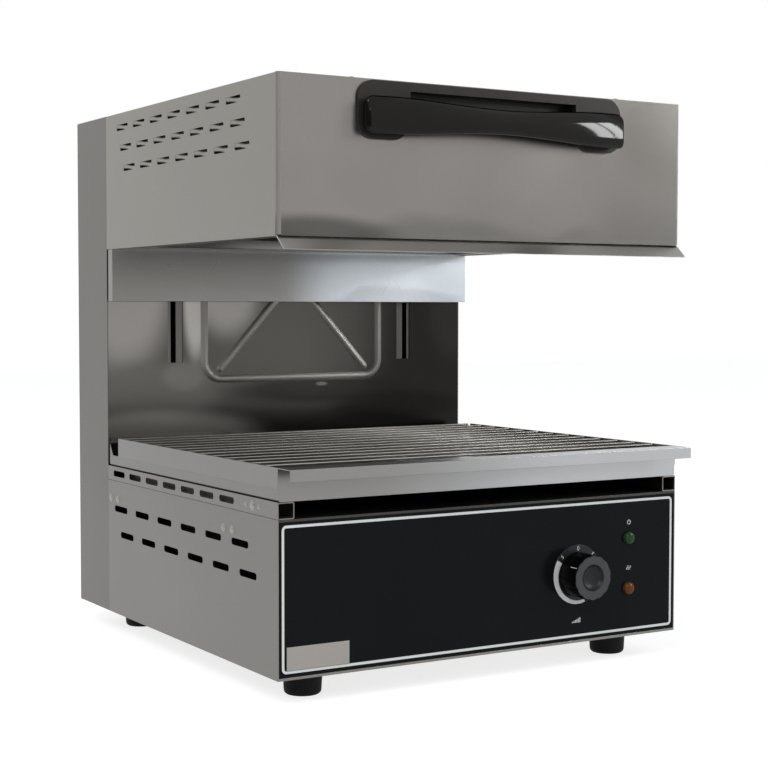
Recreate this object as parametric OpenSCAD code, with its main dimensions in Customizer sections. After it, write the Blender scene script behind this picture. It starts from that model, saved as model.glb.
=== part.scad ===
// Lift grill for melting and browning: a heated head on a counterbalanced carriage
// above a slotted base with a wire rack over a drip tray.
// Inside body_frame(): X runs across, Y runs back from the control panel's face
// and Z runs up from the underside of the base.

/* [Cabinet] */
// Width over the side skins
body_w = 450; // [430:1:500]
// Depth from the control panel's face to the back of the rear panel
body_d = 478; // [470:1:520]
// Height of the base, from its underside to its deck
base_h = 141.5; // [132:0.5:170]
// Free height from the deck up to the underside of the head
cooking_gap = 245.5; // [244:0.5:275]
// Height of the heated head
head_h = 140.5; // [138:0.5:165]
// Depth of the rear column that holds the lift
column_d = 84.5; // [84:0.5:96]
// Thickness of the folded sheet steel
sheet = 1; // [0.8:0.1:1.2]
// Height of the bright lips above and below the control panel
panel_lip = 2.4; // [1.8:0.1:3.4]

/* [Feet] */
// Height of each rubber foot
foot_h = 24.5; // [18:0.5:32]
// Diameter of each foot where it meets the base
foot_d = 37; // [32:1:44]
// Distance of the feet from the side skins
foot_side = 49; // [40:1:60]
// Distance of the front feet from the panel's face
foot_front = 46; // [38:1:60]
// Distance of the rear feet from the rear panel
foot_rear = 57; // [44:1:64]
// Diameter of the screw that holds a foot
foot_screw_d = 6; // [5:0.5:6]

/* [Side vents of the base] */
// Length of one vent
vent_l = 34; // [26:1:40]
// Height of one vent
vent_h = 6; // [4:0.5:8]
// Distance from one vent to the next in its row
vent_pitch = 56.7; // [50:0.1:58]
// Vents in each row
vent_n = 6; // [3:1:6]
// Middle of the upper row's front vent, from the panel's face
vent_front = 74.5; // [60:0.5:80]
// Upper row's distance below the deck
vent_drop = 29.1; // [26:0.1:36]
// Distance between the two rows
vent_row_gap = 26.4; // [20:0.1:32]
// How far the lower row lies towards the front
vent_row_shift = 16.3; // [0:0.1:24]

/* [Tray rails] */
// Height of the channel that carries the tray
rail_h = 15; // [12:0.5:20]
// Width of the channel that carries the tray
rail_w = 15.5; // [13:0.5:20]
// Slots in each outer strip
strip_slot_n = 7; // [3:1:7]
// Length of a slot in the outer strip
strip_slot_l = 30; // [22:0.5:34]
// Height of a slot in the outer strip
strip_slot_h = 5.4; // [4:0.1:7]
// Distance from one strip slot to the next
strip_slot_pitch = 43.5; // [38:0.5:44]
// Middle of the front strip slot, from the panel's face
strip_slot_front = 102; // [90:1:108]
// Place of the large rivet in the strip, from the panel's face
rail_rivet_y = 49.5; // [44:0.5:60]

/* [Drip tray] */
// Height of the tray's walls
tray_h = 30.2; // [26:0.1:38]
// How far the front lip stands out for pulling
tray_lip_out = 23.5; // [16:0.5:26]
// Height of the front lip
tray_lip_h = 10.8; // [8:0.1:16]
// Height of the folded hem along each side
tray_hem_h = 19; // [14:0.5:22]
// Length of the cut-out at each rear corner
tray_notch = 26; // [18:1:34]
// Bend radius along the tray's lower edges
tray_bend = 2.5; // [2:0.1:3.5]
// How far the tray pulls out
tray_travel = 300; // [200:10:340]

/* [Wire rack] */
// Diameter of the cross wires
wire_d = 2.5; // [2:0.1:4]
// Number of cross wires
wire_n = 13; // [8:1:13]
// Distance between cross wires
wire_pitch = 28; // [24:0.5:29]
// Front cross wire, from the panel's face
wire_front = 32; // [22:1:34]
// Diameter of the rods that run from front to back
rod_d = 5; // [4:0.5:6]
// Distance of the inner rods from the middle
rod_inner = 72; // [50:1:100]

/* [Head] */
// How far the head's front stands ahead of the control panel
head_out = 2; // [0:0.5:4]
// Width of the front panel's returns on the side faces
front_return = 5; // [4:0.5:8]
// Bend radius along the front panel's upright edges
front_bend = 3; // [2:0.1:4]
// Length of one louvre
louvre_l = 29.5; // [24:0.5:32]
// Height of one louvre
louvre_h = 5.8; // [4.5:0.1:7]
// Distance from one louvre to the next
louvre_pitch = 43.75; // [38:0.25:44]
// Louvres in each row
louvre_n = 7; // [3:1:7]
// Rows of louvres
louvre_rows = 3; // [1:1:3]
// Distance between the rows
louvre_row_gap = 21.3; // [18:0.1:24]
// How far each lower row lies towards the front
louvre_row_shift = 9; // [0:0.5:12]
// Middle of the top row's front louvre, from the panel's face
louvre_front = 85.5; // [76:0.5:90]
// Distance of the top row below the head's top
louvre_drop = 15.2; // [12:0.1:20]
// How far the deflector under the front reaches forward
lip_out = 12.8; // [8:0.1:18]
// How far the deflector under the front reaches down
lip_drop = 11.4; // [8:0.1:14]
// How far the apron hangs below the head
apron_drop = 55; // [40:1:56]
// Distance of the apron from the column
apron_back = 13.5; // [13:0.5:20]

/* [Handle] */
// Width of the handle's front bar
handle_w = 287; // [240:1:320]
// Width of the moulding behind the bar
handle_plate_w = 294; // [260:1:340]
// Height of the moulding
handle_plate_h = 52; // [48:1:60]
// How far the bar's ends stand out from the head
handle_out = 15; // [13:0.5:20]
// How far the bar bows out further at its middle
handle_bow = 7; // [3:0.5:10]
// Height of the bar at its ends
handle_end_h = 33; // [30:0.5:38]
// Height of the bar at its middle
handle_mid_h = 22.5; // [18:0.5:28]
// Width of the finger recess behind the bar
recess_w = 190; // [160:1:196]
// Depth of the finger recess behind the head's face
recess_d = 14; // [10:0.5:20]

/* [Controls] */
// Knob's distance to the right of the middle
knob_x = 101; // [80:1:120]
// Knob's height above the underside
knob_z = 67; // [50:0.5:80]
// Diameter of the knob
knob_d = 44; // [38:0.5:48]
// How far the knob's face stands out from the panel
knob_out = 26; // [24:0.5:30]
// Diameter of the dial disc
dial_d = 58; // [52:0.5:64]
// Diameter of the regulator's shaft
shaft_d = 6; // [5:0.5:7]
// Lamps' distance to the right of the middle
lamp_x = 165; // [155:1:185]
// Height of the green lamp
lamp_high_z = 98; // [88:1:112]
// Height of the amber lamp
lamp_low_z = 48; // [36:1:60]
// Diameter of a lamp's lens
lamp_d = 12; // [10:0.5:14]
// Length of the blank plate
plate_l = 63; // [50:0.5:80]
// Height of the blank plate
plate_h = 20.8; // [15:0.1:26]

/* [Splash-back] */
// Width of a vertical slot for a lift arm
arm_slot_w = 17.8; // [14:0.2:20]
// Width of the pressed frame, over the ribs
rib_frame_w = 232; // [200:1:236]
// Height of the pressed frame, over the ribs
rib_frame_h = 236; // [180:1:240]
// Height of the pressed frame's lower edge above the deck
rib_frame_up = 100.3; // [90:0.1:120]
// Width of a pressed rib at its foot
rib_w = 9; // [6:0.5:11]
// How far a rib stands out
rib_out = 1.6; // [1:0.1:2]

/* [Lift] */
// How far the head comes down
lift_travel = 140; // [100:1:140]
// Distance of each guide from the middle
guide_x = 148.4; // [145:0.2:160]
// Width of a guide channel
guide_w = 44; // [42:1:50]
// Depth of a guide channel
guide_d = 34; // [30:0.5:36]
// Wall of a guide channel
guide_t = 2; // [1.5:0.1:2.5]
// Width of the mouth between a guide's lips
guide_mouth = 6.2; // [5.6:0.1:8]
// Thickness of a lift arm
arm_t = 4; // [3:0.5:4.5]
// Height of a lift arm where it passes the slot
arm_h = 59; // [50:1:64]
// Width of a roller
roller_w = 12; // [9:0.5:13]
// Diameter of the roller and pulley axles
axle_d = 8; // [6:0.5:9]
// Radius of the lift cable's path round its pulley
pulley_r = 19; // [17:0.5:21]
// Diameter of the lift cable
cable_d = 3; // [2:0.5:3.5]
// Width of each counterweight
weight_w = 58; // [50:1:60]
// Depth of each counterweight
weight_d = 30; // [26:0.5:32]
// Length of each counterweight
weight_l = 262; // [200:2:266]

/* [Heater] */
// Diameter of the sheathed elements
element_d = 8; // [6:0.5:9]
// Distance between the runs of an element
element_pitch = 40; // [34:1:42]
// Length of an element's straight runs
element_run = 344; // [280:2:348]
// Depth of the reflector
reflector_h = 32; // [26:1:40]
// Thickness of the insulation over the reflector
insulation_t = 20; // [10:1:30]

/* [Inlet] */
// How far the cable gland stands out behind
gland_out = 16; // [12:1:22]
// Bore of the cable gland
gland_bore = 9.5; // [8:0.5:11]

/* [Hidden] */
$fn = 48;

// Colours, as the object shows them
steel = "#8f8e88";
dark_steel = "#4a4947";
bright = "#c4c5c6";
black_gloss = "#1c1d1f";
rubber = "#141414";
brass = "#b08d4a";
ceramic = "#d8d2c4";

// Clearances
seam = 0.2;
play = 0.3;
running = 0.05;
through = 1;

// Main places
half_w = body_w / 2;
inner_x = half_w - sheet;
column_y = body_d - column_d;
head_z = base_h + cooking_gap;
top_z = head_z + head_h;
front_reach = max(knob_out, tray_lip_out, handle_out + handle_bow + head_out, lip_out);
front_y = (front_reach - body_d - gland_out) / 2;

// Head places
head_y = -head_out;
head_inner_y = head_y + sheet;
head_gap = rib_out + 0.4;
head_back_y = column_y - 5;
floor_z = head_z + sheet;
floor_top_z = floor_z + sheet;
flange_w = 11;
top_flange = 14;
top_screw_y = 5;
side_screw_y = 75;
side_screw_x = half_w - 8;
lip_shelf = 24;
lip_root = 3.2;

// Rail and tray places
strip_h = rail_h + play - 0.1;
rail_top_z = base_h + rail_h;
tray_z = rail_top_z + play;
tray_top_z = tray_z + tray_h;
tray_back_y = column_y - 2.5;
tray_wall_x = half_w - sheet;
wire_z = tray_top_z - wire_d / 2;
rod_bite = 0.3;
rod_over = 9;
rod_z = wire_z - wire_d / 2 - rod_d / 2 + rod_bite;
ledge_w = 11;
ledge_top_z = rod_z - rod_d / 2 - play;
rod_outer = tray_wall_x - sheet - 6;

// Lift places
arm_bottom_z = head_z + 22;
arm_top_z = arm_bottom_z + arm_h;
arm_slot_bottom_z = arm_bottom_z - lift_travel - 4;
arm_slot_top_z = arm_top_z + 12;
arm_slot_x = guide_x - 2.3;
carriage_bottom_z = arm_bottom_z - 31;
carriage_top_z = arm_top_z + 2;
guide_y = column_y + sheet;
guide_bottom_z = arm_slot_bottom_z - 40;
guide_top_z = carriage_top_z + 2;
roller_y = guide_y + guide_d / 2;
roller_d = guide_d - 2 * guide_t - 2 * play;
roller_low_z = arm_bottom_z - 17;
roller_high_z = arm_top_z - 13;
roller_x = guide_x + arm_t / 2 + 1;
pulley_rim_r = pulley_r + 3;
pulley_w = 9;
pulley_y = roller_y + pulley_r;
pulley_z = guide_top_z + pulley_rim_r + 4;
cheek_t = 3;
cheek_d = 22;
cheek_x = pulley_w / 2 + 1;
bracket_w = 40;
weight_y = pulley_y + pulley_r;
weight_top_z = pulley_z - pulley_rim_r - lift_travel - 12;
weight_guide_t = 1.5;
weight_guide_z = 24;
ferrule_d = cable_d + 3.5;
ferrule_l = 22;

// Reflector and elements
element_runs = 4;
reflector_x = half_w - 25;
reflector_y0 = 20;
reflector_y1 = column_y - 29.5;
reflector_z1 = floor_top_z + reflector_h;
element_z = floor_top_z + 13;
element_span = (element_runs - 1) * element_pitch;
element_margin = 22;
comb_x = 120;
comb_t = 1.5;
comb_margin = 12;
element_ys = [reflector_y0 + element_margin, reflector_y1 - element_margin - element_span];

// Handle
handle_top_z = top_z - 1.1;
handle_mid_z = top_z - 32.6;
handle_ys = head_y - handle_out;
bar_t = 8;
moulding_t = 3;
recess_h = 30;
recess_z = handle_top_z - 6 - recess_h;
lobe_w = (handle_plate_w - recess_w) / 2;

// Regulator
regulator_l = 34;

// Foot places
foot_xs = half_w - foot_side;
foot_ys = [foot_front, body_d - foot_rear];

// Lead slot, beside the right-hand guide
lead_x = guide_x + guide_w / 2 + 14.6;
lead_d = 6;
lead_slot_w = 12;
lead_top_z = top_z - 34;
lead_exit_z = lead_top_z - 8;

// Places of the vents, screws and rivets
floor_vent_y = 150;
floor_vent_pitch = 28;
floor_vent_l = 160;
rivet_rear_ys = [column_y - 26.5, column_y - 8];
rivet_front_ys = [91, 109];
rivet_drop = 19;
back_screw_x = half_w - 7;
back_screw_zs = [20, top_z / 2, top_z - 20];
terminal_side = 27;
terminal_x = inner_x - terminal_side;
terminal_y = column_y + 47;
terminal_l = 44;
terminal_w = 22;
terminal_h = 18;
gland_x = half_w - 55;
gland_z = 40;

// ---- Shared shapes ----

module body_frame() {
    translate([0, front_y, foot_h]) children();
}

module block(x, y, z) {
    translate([x[0], y[0], z[0]]) cube([x[1] - x[0], y[1] - y[0], z[1] - z[0]]);
}

module both_sides() {
    children();
    mirror([1, 0, 0]) children();
}

// Sheet in the plane of Y and Z, drawn as (y, z), from x outwards
module sheet_yz(x, t) {
    translate([x, 0, 0]) rotate([90, 0, 90]) linear_extrude(t) children();
}

// Sheet in the plane of X and Z, drawn as (x, z), from y to the back
module sheet_xz(y, t) {
    translate([0, y + t, 0]) rotate([90, 0, 0]) linear_extrude(t) children();
}

// Straight round bar along X, Y or Z, from its start
module bar_x(l, d) {
    rotate([0, 90, 0]) cylinder(h = l, d = d);
}

module bar_y(l, d) {
    rotate([-90, 0, 0]) cylinder(h = l, d = d);
}

// Slot with rounded corners, drawn flat and centred
module slot_2d(l, h, r) {
    square([l - 2 * r, h], center = true);
    square([l, h - 2 * r], center = true);
    for (x = [-1, 1], y = [-1, 1]) translate([x * (l / 2 - r), y * (h / 2 - r)]) circle(r);
}

// Upright rectangle from two corners
module area(x, y) {
    translate([x[0], y[0]]) square([x[1] - x[0], y[1] - y[0]]);
}

function unit(v) = v / norm(v);

// Direction of a path at one of its points
function heading(path, i) =
    unit(path[min(i + 1, len(path) - 1)] - path[max(i - 1, 0)]);

// One ring of a tube: its corners stand square to the path, from a given side
function tube_ring(path, sides_dir, i, r, n) =
    let (t = heading(path, i),
         u = unit(sides_dir[i] - (sides_dir[i] * t) * t),
         v = cross(t, u))
    [for (k = [0 : n - 1]) path[i] + r * (cos(360 * k / n) * u + sin(360 * k / n) * v)];

// Closed tube of n sides along a path
module tube_along(path, sides_dir, r, n) {
    last = len(path) - 1;
    corners = [for (i = [0 : last]) each tube_ring(path, sides_dir, i, r, n)];
    walls = [for (i = [0 : last - 1], k = [0 : n - 1])
        let (a = i * n + k, b = i * n + (k + 1) % n)
        each [[a, b + n, b], [a, a + n, b + n]]];
    first_cap = [for (k = [1 : n - 2]) [0, k, k + 1]];
    last_cap = [for (k = [1 : n - 2]) [last * n, last * n + k + 1, last * n + k]];
    polyhedron(corners, concat(walls, first_cap, last_cap));
}

// ---- Base ----

module vent_row(y, z) {
    for (i = [0 : vent_n - 1]) translate([y + i * vent_pitch, z]) slot_2d(vent_l, vent_h, 0.43 * vent_h);
}

module base_side_2d() {
    difference() {
        area([0, column_y - seam], [0, base_h]);
        vent_row(vent_front, base_h - vent_drop);
        vent_row(vent_front - vent_row_shift, base_h - vent_drop - vent_row_gap);
        for (y = concat(rivet_front_ys, rivet_rear_ys)) translate([y, base_h - rivet_drop]) circle(2);
    }
}

module base_shell() {
    color(steel) body_frame() {
        difference() {
            union() {
                block([-half_w, half_w], [0, column_y - seam], [0, sheet]);
                block([-inner_x + seam, inner_x - seam], [column_y - through, body_d - sheet], [0, sheet]);
                block([-half_w, half_w], [0, sheet], [0, panel_lip]);
                both_sides() sheet_yz(inner_x, sheet) base_side_2d();
            }
            for (x = [-foot_xs, foot_xs], y = foot_ys)
                translate([x, y, -through]) cylinder(h = sheet + 2 * through, d = foot_screw_d + 0.4);
            for (i = [0 : 5]) translate([0, floor_vent_y + floor_vent_pitch * i, -through])
                linear_extrude(sheet + 2 * through) slot_2d(floor_vent_l, vent_h, vent_h / 2 - 0.1);
        }
    }
}

module base_deck() {
    color(dark_steel) body_frame() {
        block([-inner_x, inner_x], [0, column_y - seam], [base_h - sheet, base_h]);
        block([-inner_x, inner_x], [0, sheet], [base_h - panel_lip, base_h]);
    }
}

module control_holes_2d(extra) {
    translate([knob_x, knob_z]) circle(d = 10 + extra);
    for (z = [lamp_low_z, lamp_high_z]) translate([lamp_x, z]) circle(d = lamp_d - 2 + extra);
}

module control_panel() {
    color(steel) body_frame() sheet_xz(sheet, sheet) difference() {
        area([-inner_x, inner_x], [sheet, base_h - sheet]);
        control_holes_2d(0.4);
    }
}

module panel_overlay() {
    color(black_gloss) body_frame() sheet_xz(seam, sheet - seam) difference() {
        area([-inner_x + seam, inner_x - seam], [panel_lip + 0.1, base_h - panel_lip - 0.1]);
        control_holes_2d(0.4);
    }
}

module name_plate() {
    color(bright) body_frame()
        block([8.5 - half_w, 8.5 - half_w + plate_l], [seam - 0.8, seam], [8.5, 8.5 + plate_h]);
}

module dial_disc() {
    color(black_gloss) body_frame() translate([knob_x, seam - 1.5, knob_z]) difference() {
        bar_y(1.5, dial_d);
        translate([0, -through, 0]) bar_y(1.5 + 2 * through, 12);
    }
}

// Power regulator behind the panel, with its threaded bush and nut
module regulator() {
    color(ceramic) body_frame() translate([knob_x, 0, knob_z]) difference() {
        union() {
            block([-20, 20], [2 * sheet, 2 * sheet + regulator_l], [-21, 21]);
            translate([0, 0.3, 0]) bar_y(2 * sheet, 10);
            for (x = [-12, 0, 12])
                block([x - 3, x + 3], [2 * sheet + regulator_l - 1, 2 * sheet + regulator_l + 8], [8, 8.8]);
        }
        translate([0, -through, 0]) bar_y(18, shaft_d + 2 * running);
    }
}

// Lens with a rounded front that snaps into the panel
module lamp_lens(z) {
    body_frame() translate([lamp_x, 0, z]) {
        translate([0, seam, 0]) rotate([90, 0, 0]) rotate_extrude() {
            square([lamp_d / 2, 3]);
            square([lamp_d / 2 - 2.5, 5.5]);
            translate([lamp_d / 2 - 2.5, 3]) intersection() {
                circle(2.5);
                square(2.5);
            }
        }
        bar_y(2 * sheet, lamp_d - 2);
    }
}

module lamp_green() {
    color("#1f5a22") lamp_lens(lamp_high_z);
}

module lamp_amber() {
    color("#a5561c") lamp_lens(lamp_low_z);
}

module lamp_bodies() {
    color(black_gloss) body_frame() for (z = [lamp_low_z, lamp_high_z]) translate([lamp_x, 2 * sheet, z]) {
        bar_y(3, lamp_d + 2);
        bar_y(26, lamp_d - 3);
        for (x = [-2.5, 2.5]) block([x - 0.4, x + 0.4], [25, 34], [-1.5, 1.5]);
    }
}

module terminal_block() {
    color(ceramic) body_frame() translate([terminal_x, terminal_y, sheet]) difference() {
        block([-terminal_l / 2, terminal_l / 2], [-terminal_w / 2, terminal_w / 2], [0, terminal_h]);
        for (x = [-14, -2, 14], y = [-6, 6]) translate([x, y, terminal_h - 7]) cylinder(h = 8, d = 4);
    }
}

// Gland with its nut inside the rear panel
module cable_gland() {
    color(black_gloss) body_frame() translate([gland_x, body_d, gland_z]) {
        difference() {
            union() {
                rotate([-90, 0, 0]) cylinder(h = 5, d = 25, $fn = 6);
                bar_y(gland_out, 19);
                translate([0, -8, 0]) bar_y(9, 16);
            }
            translate([0, -9, 0]) bar_y(gland_out + 10, gland_bore);
        }
        translate([0, -sheet, 0]) rotate([90, 0, 0]) difference() {
            cylinder(h = 4, d = 24, $fn = 6);
            translate([0, 0, -through]) cylinder(h = 4 + 2 * through, d = 16 + 2 * running);
        }
    }
}

// Loom from the terminal block to the back of the regulator
module base_loom() {
    start_x = terminal_x + terminal_l / 6;
    start_y = terminal_y - terminal_w / 2 - play;
    loom = [
        [start_x, start_y, 12], [start_x, start_y - 12, 12], [start_x - 1, start_y - 40, 11],
        [start_x - 30, 290, 9], [start_x - 62, 190, 9], [knob_x + 24, 130, 10],
        [knob_x + 12, 96, 15], [knob_x + 5, 76, 27], [knob_x + 1, 62, 43],
        [knob_x, 55, knob_z - 11], [knob_x, 48, knob_z - 5], [knob_x, 42, knob_z - 4],
        [knob_x, regulator_l + 2 * sheet + play, knob_z - 4]
    ];
    color(rubber) body_frame() tube_along(loom, [for (p = loom) [1, 0, 0]], 2.5, 8);
}

// Lead from the terminal block up the column and through its slot into the head
module heater_lead() {
    exit = lead_exit_z;
    start_x = terminal_x - terminal_l / 4;
    start_y = terminal_y - terminal_w / 2 - play;
    lead = [
        [start_x, start_y, 12], [start_x, start_y - 5, 12], [start_x, start_y - 9, 15],
        [start_x, start_y - 10, 22], [start_x, start_y - 10, 40], [(start_x + lead_x) / 2, start_y - 8, 80],
        [lead_x, start_y, 130], [lead_x, terminal_y, 200], [lead_x, terminal_y, exit - 90],
        [lead_x, terminal_y - 3, exit - 50], [lead_x, terminal_y - 12, exit - 20],
        [lead_x, terminal_y - 24, exit - 5], [lead_x, terminal_y - 36, exit],
        [lead_x, column_y, exit], [lead_x, head_back_y - 14, exit]
    ];
    color(rubber) body_frame() tube_along(lead, [for (p = lead) [1, 0, 0]], lead_d / 2, 8);
}

module feet() {
    color(rubber) body_frame() for (x = [-foot_xs, foot_xs], y = foot_ys)
        translate([x, y, -foot_h]) rotate_extrude() polygon([
            [7, 0], [foot_d / 2 - 3.5, 0], [foot_d / 2 - 1.8, 1.4], [foot_d / 2 - 1.2, 3.5],
            [foot_d / 2, foot_h], [foot_screw_d / 2 + 0.1, foot_h],
            [foot_screw_d / 2 + 0.1, foot_h - 8], [7, foot_h - 8]
        ]);
}

module foot_screws() {
    color(bright) body_frame() for (x = [-foot_xs, foot_xs], y = foot_ys) translate([x, y, 0]) {
        translate([0, 0, -12]) cylinder(h = 4, d = 12);
        translate([0, 0, -9]) cylinder(h = 18, d = foot_screw_d);
        translate([0, 0, sheet]) cylinder(h = 5, d = 11.5, $fn = 6);
    }
}

// ---- Tray rails ----

// Channel open to the side skin, with its web towards the middle
module tray_rail() {
    r = 1.6;
    color(steel) body_frame() translate([0, column_y - seam, 0]) rotate([90, 0, 0])
        linear_extrude(column_y - seam) translate([inner_x, base_h]) difference() {
            translate([-rail_w / 2, rail_h / 2]) slot_2d(rail_w, rail_h, r);
            translate([-rail_w / 2 + sheet, rail_h / 2]) slot_2d(rail_w, rail_h - 2 * sheet, r - 0.6);
        }
}

module tray_rail_left() {
    mirror([1, 0, 0]) tray_rail();
}

module tray_rail_right() {
    tray_rail();
}

module rail_strip() {
    color(steel) body_frame() sheet_yz(inner_x, sheet) difference() {
        area([0, column_y - seam], [base_h + play, base_h + strip_h]);
        for (i = [0 : strip_slot_n - 1])
            translate([strip_slot_front + i * strip_slot_pitch, base_h + rail_h / 2 + 0.4])
                slot_2d(strip_slot_l, strip_slot_h, 0.43 * strip_slot_h);
        translate([rail_rivet_y, base_h + rail_h / 2]) circle(2.5);
    }
}

module rail_strip_left() {
    mirror([1, 0, 0]) rail_strip();
}

module rail_strip_right() {
    rail_strip();
}

// Domed head outside the skin, with its shank through the sheet
module dome_rivet(d, out, shank) {
    rotate([0, 90, 0]) {
        intersection() {
            translate([0, 0, out - (d * d / 4 + out * out) / (2 * out)])
                sphere(r = (d * d / 4 + out * out) / (2 * out));
            cylinder(h = out, d = d);
        }
        if (shank > 0) translate([0, 0, -3]) cylinder(h = 3.2, d = shank);
    }
}

module dome_rivets() {
    color(bright) body_frame() both_sides() translate([half_w, 0, base_h]) {
        translate([0, rail_rivet_y, rail_h / 2]) dome_rivet(9, 1.6, 4.8);
        for (y = [-13, 13]) translate([0, rail_rivet_y + y, rail_h / 2]) dome_rivet(4.5, 0.8, 0);
        for (y = concat(rivet_front_ys, rivet_rear_ys))
            translate([0, y, -rivet_drop]) dome_rivet(8, 1.4, 3.9);
    }
}

// ---- Column ----

module column_side() {
    color(steel) body_frame() difference() {
        union() {
            block([inner_x, half_w], [column_y, body_d - sheet], [0, top_z - sheet]);
            block([inner_x - 12, inner_x], [column_y + sheet, column_y + 2 * sheet],
                  [base_h + 6, top_z - sheet]);
            block([inner_x - 12, inner_x], [body_d - 2 * sheet, body_d - sheet], [6, top_z - sheet]);
        }
        for (z = back_screw_zs) translate([back_screw_x, body_d - 4, z]) bar_y(6, 4.2);
    }
}

module column_side_left() {
    mirror([1, 0, 0]) column_side();
}

module column_side_right() {
    column_side();
}

module column_top() {
    color(steel) body_frame() block([-half_w, half_w], [column_y, body_d], [top_z - sheet, top_z]);
}

module back_panel() {
    color(steel) body_frame() sheet_xz(body_d - sheet, sheet) difference() {
        area([-half_w, half_w], [0, top_z - sheet]);
        for (side = [-1, 1], row = [0 : 3], z = [92, top_z - 150])
            translate([side * 80, z + 14 * row]) slot_2d(90, 5, 2.4);
        for (x = [-back_screw_x, back_screw_x], z = back_screw_zs) translate([x, z]) circle(d = 4.2);
        translate([gland_x, gland_z]) circle(d = 16.4);
    }
}

module back_screws() {
    color(bright) body_frame() for (x = [-back_screw_x, back_screw_x], z = back_screw_zs)
        translate([x, body_d, z]) difference() {
            union() {
                bar_y(2, 7.5);
                translate([0, -6, 0]) bar_y(7, 4);
            }
            for (turn = [0, 90]) rotate([0, turn, 0])
                block([-2.2, 2.2], [1, 3], [-0.45, 0.45]);
        }
}

// Flat-topped ridge that stands out of the splash-back, drawn along X from its start
module rib_bar(l) {
    translate([0, column_y, 0]) rotate([90, 0, 90]) linear_extrude(l)
        polygon([[0.1, -rib_w / 2], [-rib_out, -rib_w / 4.5], [-rib_out, rib_w / 4.5], [0.1, rib_w / 2]]);
}

module rib_end() {
    translate([0, column_y, 0]) rotate([90, 0, 0]) translate([0, 0, -0.1])
        cylinder(h = rib_out + 0.1, d1 = rib_w, d2 = rib_w / 2.25);
}

module rib_corner(r) {
    translate([0, column_y, 0]) rotate([90, 0, 0]) rotate_extrude(angle = 90) polygon([
        [r - rib_w / 2, -0.1], [r - rib_w / 4.5, rib_out], [r + rib_w / 4.5, rib_out], [r + rib_w / 2, -0.1]
    ]);
}

module rib_frame() {
    bend = 20;
    w = (rib_frame_w - rib_w) / 2;
    h = (rib_frame_h - rib_w) / 2;
    for (side = [-1, 1]) {
        translate([-w + bend, 0, side * h]) rib_bar(2 * (w - bend));
        translate([side * w, 0, h - bend]) rotate([0, 90, 0]) rib_bar(2 * (h - bend));
    }
    for (x = [0, 1], z = [0, 1]) mirror([x, 0, 0]) mirror([0, 0, z])
        translate([w - bend, 0, h - bend]) rib_corner(bend);
}

module rib_cross() {
    x = rib_frame_w / 2 - 24;
    z = rib_frame_h / 2 - 16;
    half_l = norm([x, z]);
    for (turn = [-1, 1]) rotate([0, turn * atan2(z, x), 0]) {
        translate([-half_l, 0, 0]) rib_bar(2 * half_l);
        for (end = [-half_l, half_l]) translate([end, 0, 0]) rib_end();
    }
}

module splash_back() {
    color(dark_steel) body_frame() {
        sheet_xz(column_y, sheet) difference() {
            area([-inner_x, inner_x], [base_h + seam, top_z - sheet]);
            for (side = [-1, 1])
                translate([side * arm_slot_x, (arm_slot_bottom_z + arm_slot_top_z) / 2])
                    square([arm_slot_w, arm_slot_top_z - arm_slot_bottom_z], center = true);
            translate([lead_x, (lead_exit_z - lift_travel + lead_top_z) / 2])
                slot_2d(lead_slot_w, lead_top_z - lead_exit_z + lift_travel + 16, 5.9);
        }
        translate([0, 0, base_h + rib_frame_up + rib_frame_h / 2]) {
            rib_frame();
            rib_cross();
        }
    }
}

// ---- Lift inside the column ----

module lift_guides() {
    color(bright) body_frame() both_sides() translate([guide_x, guide_y, guide_bottom_z])
        linear_extrude(guide_top_z - guide_bottom_z) difference() {
            area([-guide_w / 2, guide_w / 2], [0, guide_d]);
            area([-guide_w / 2 + guide_t, guide_w / 2 - guide_t], [guide_t, guide_d - guide_t]);
            area([-guide_mouth / 2, guide_mouth / 2], [-through, guide_t + through]);
        }
}

// Sheet channels that keep the counterweights upright, open towards the front
module weight_guides() {
    t = weight_guide_t;
    w = weight_w / 2 + 2 * play;
    y0 = weight_y - weight_d / 2;
    y1 = weight_y + weight_d / 2 + 2 * play;
    color(steel) body_frame() both_sides() translate([guide_x, 0, 0]) {
        for (x = [-w - t, w]) block([x, x + t], [y0, y1], [weight_guide_z, weight_top_z + lift_travel]);
        block([-w - t, w + t], [y1, y1 + t], [weight_guide_z, weight_top_z + lift_travel]);
        for (z = [weight_guide_z + 30, weight_top_z + lift_travel - 30])
            block([-10, 10], [y1 + t / 2, body_d - sheet], [z, z + 12]);
        block([-w, w], [y0, y1], [weight_guide_z, weight_guide_z + t]);
    }
}

// Fork under the column's top that carries a pulley
module pulley_brackets() {
    color(steel) body_frame() both_sides() difference() {
        union() {
            for (side = [-1, 1]) translate([guide_x + side * (cheek_x + cheek_t / 2), 0, 0])
                block([-cheek_t / 2, cheek_t / 2], [pulley_y - cheek_d / 2, pulley_y + cheek_d / 2],
                      [pulley_z - cheek_d / 2 + 1, top_z - sheet]);
            block([guide_x - bracket_w / 2, guide_x + bracket_w / 2],
                  [pulley_y - cheek_d / 2, pulley_y + cheek_d / 2],
                  [top_z - sheet - cheek_t, top_z - sheet]);
        }
        translate([guide_x - bracket_w / 2, pulley_y, pulley_z]) bar_x(bracket_w, axle_d + 2 * running);
    }
}

module pulley_axles() {
    l = 2 * (cheek_x + cheek_t);
    color(bright) body_frame() both_sides() translate([guide_x, pulley_y, pulley_z]) {
        translate([-l / 2, 0, 0]) bar_x(l + 2, axle_d);
        translate([-l / 2 - 2, 0, 0]) bar_x(2, axle_d + 4);
    }
}

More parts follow.
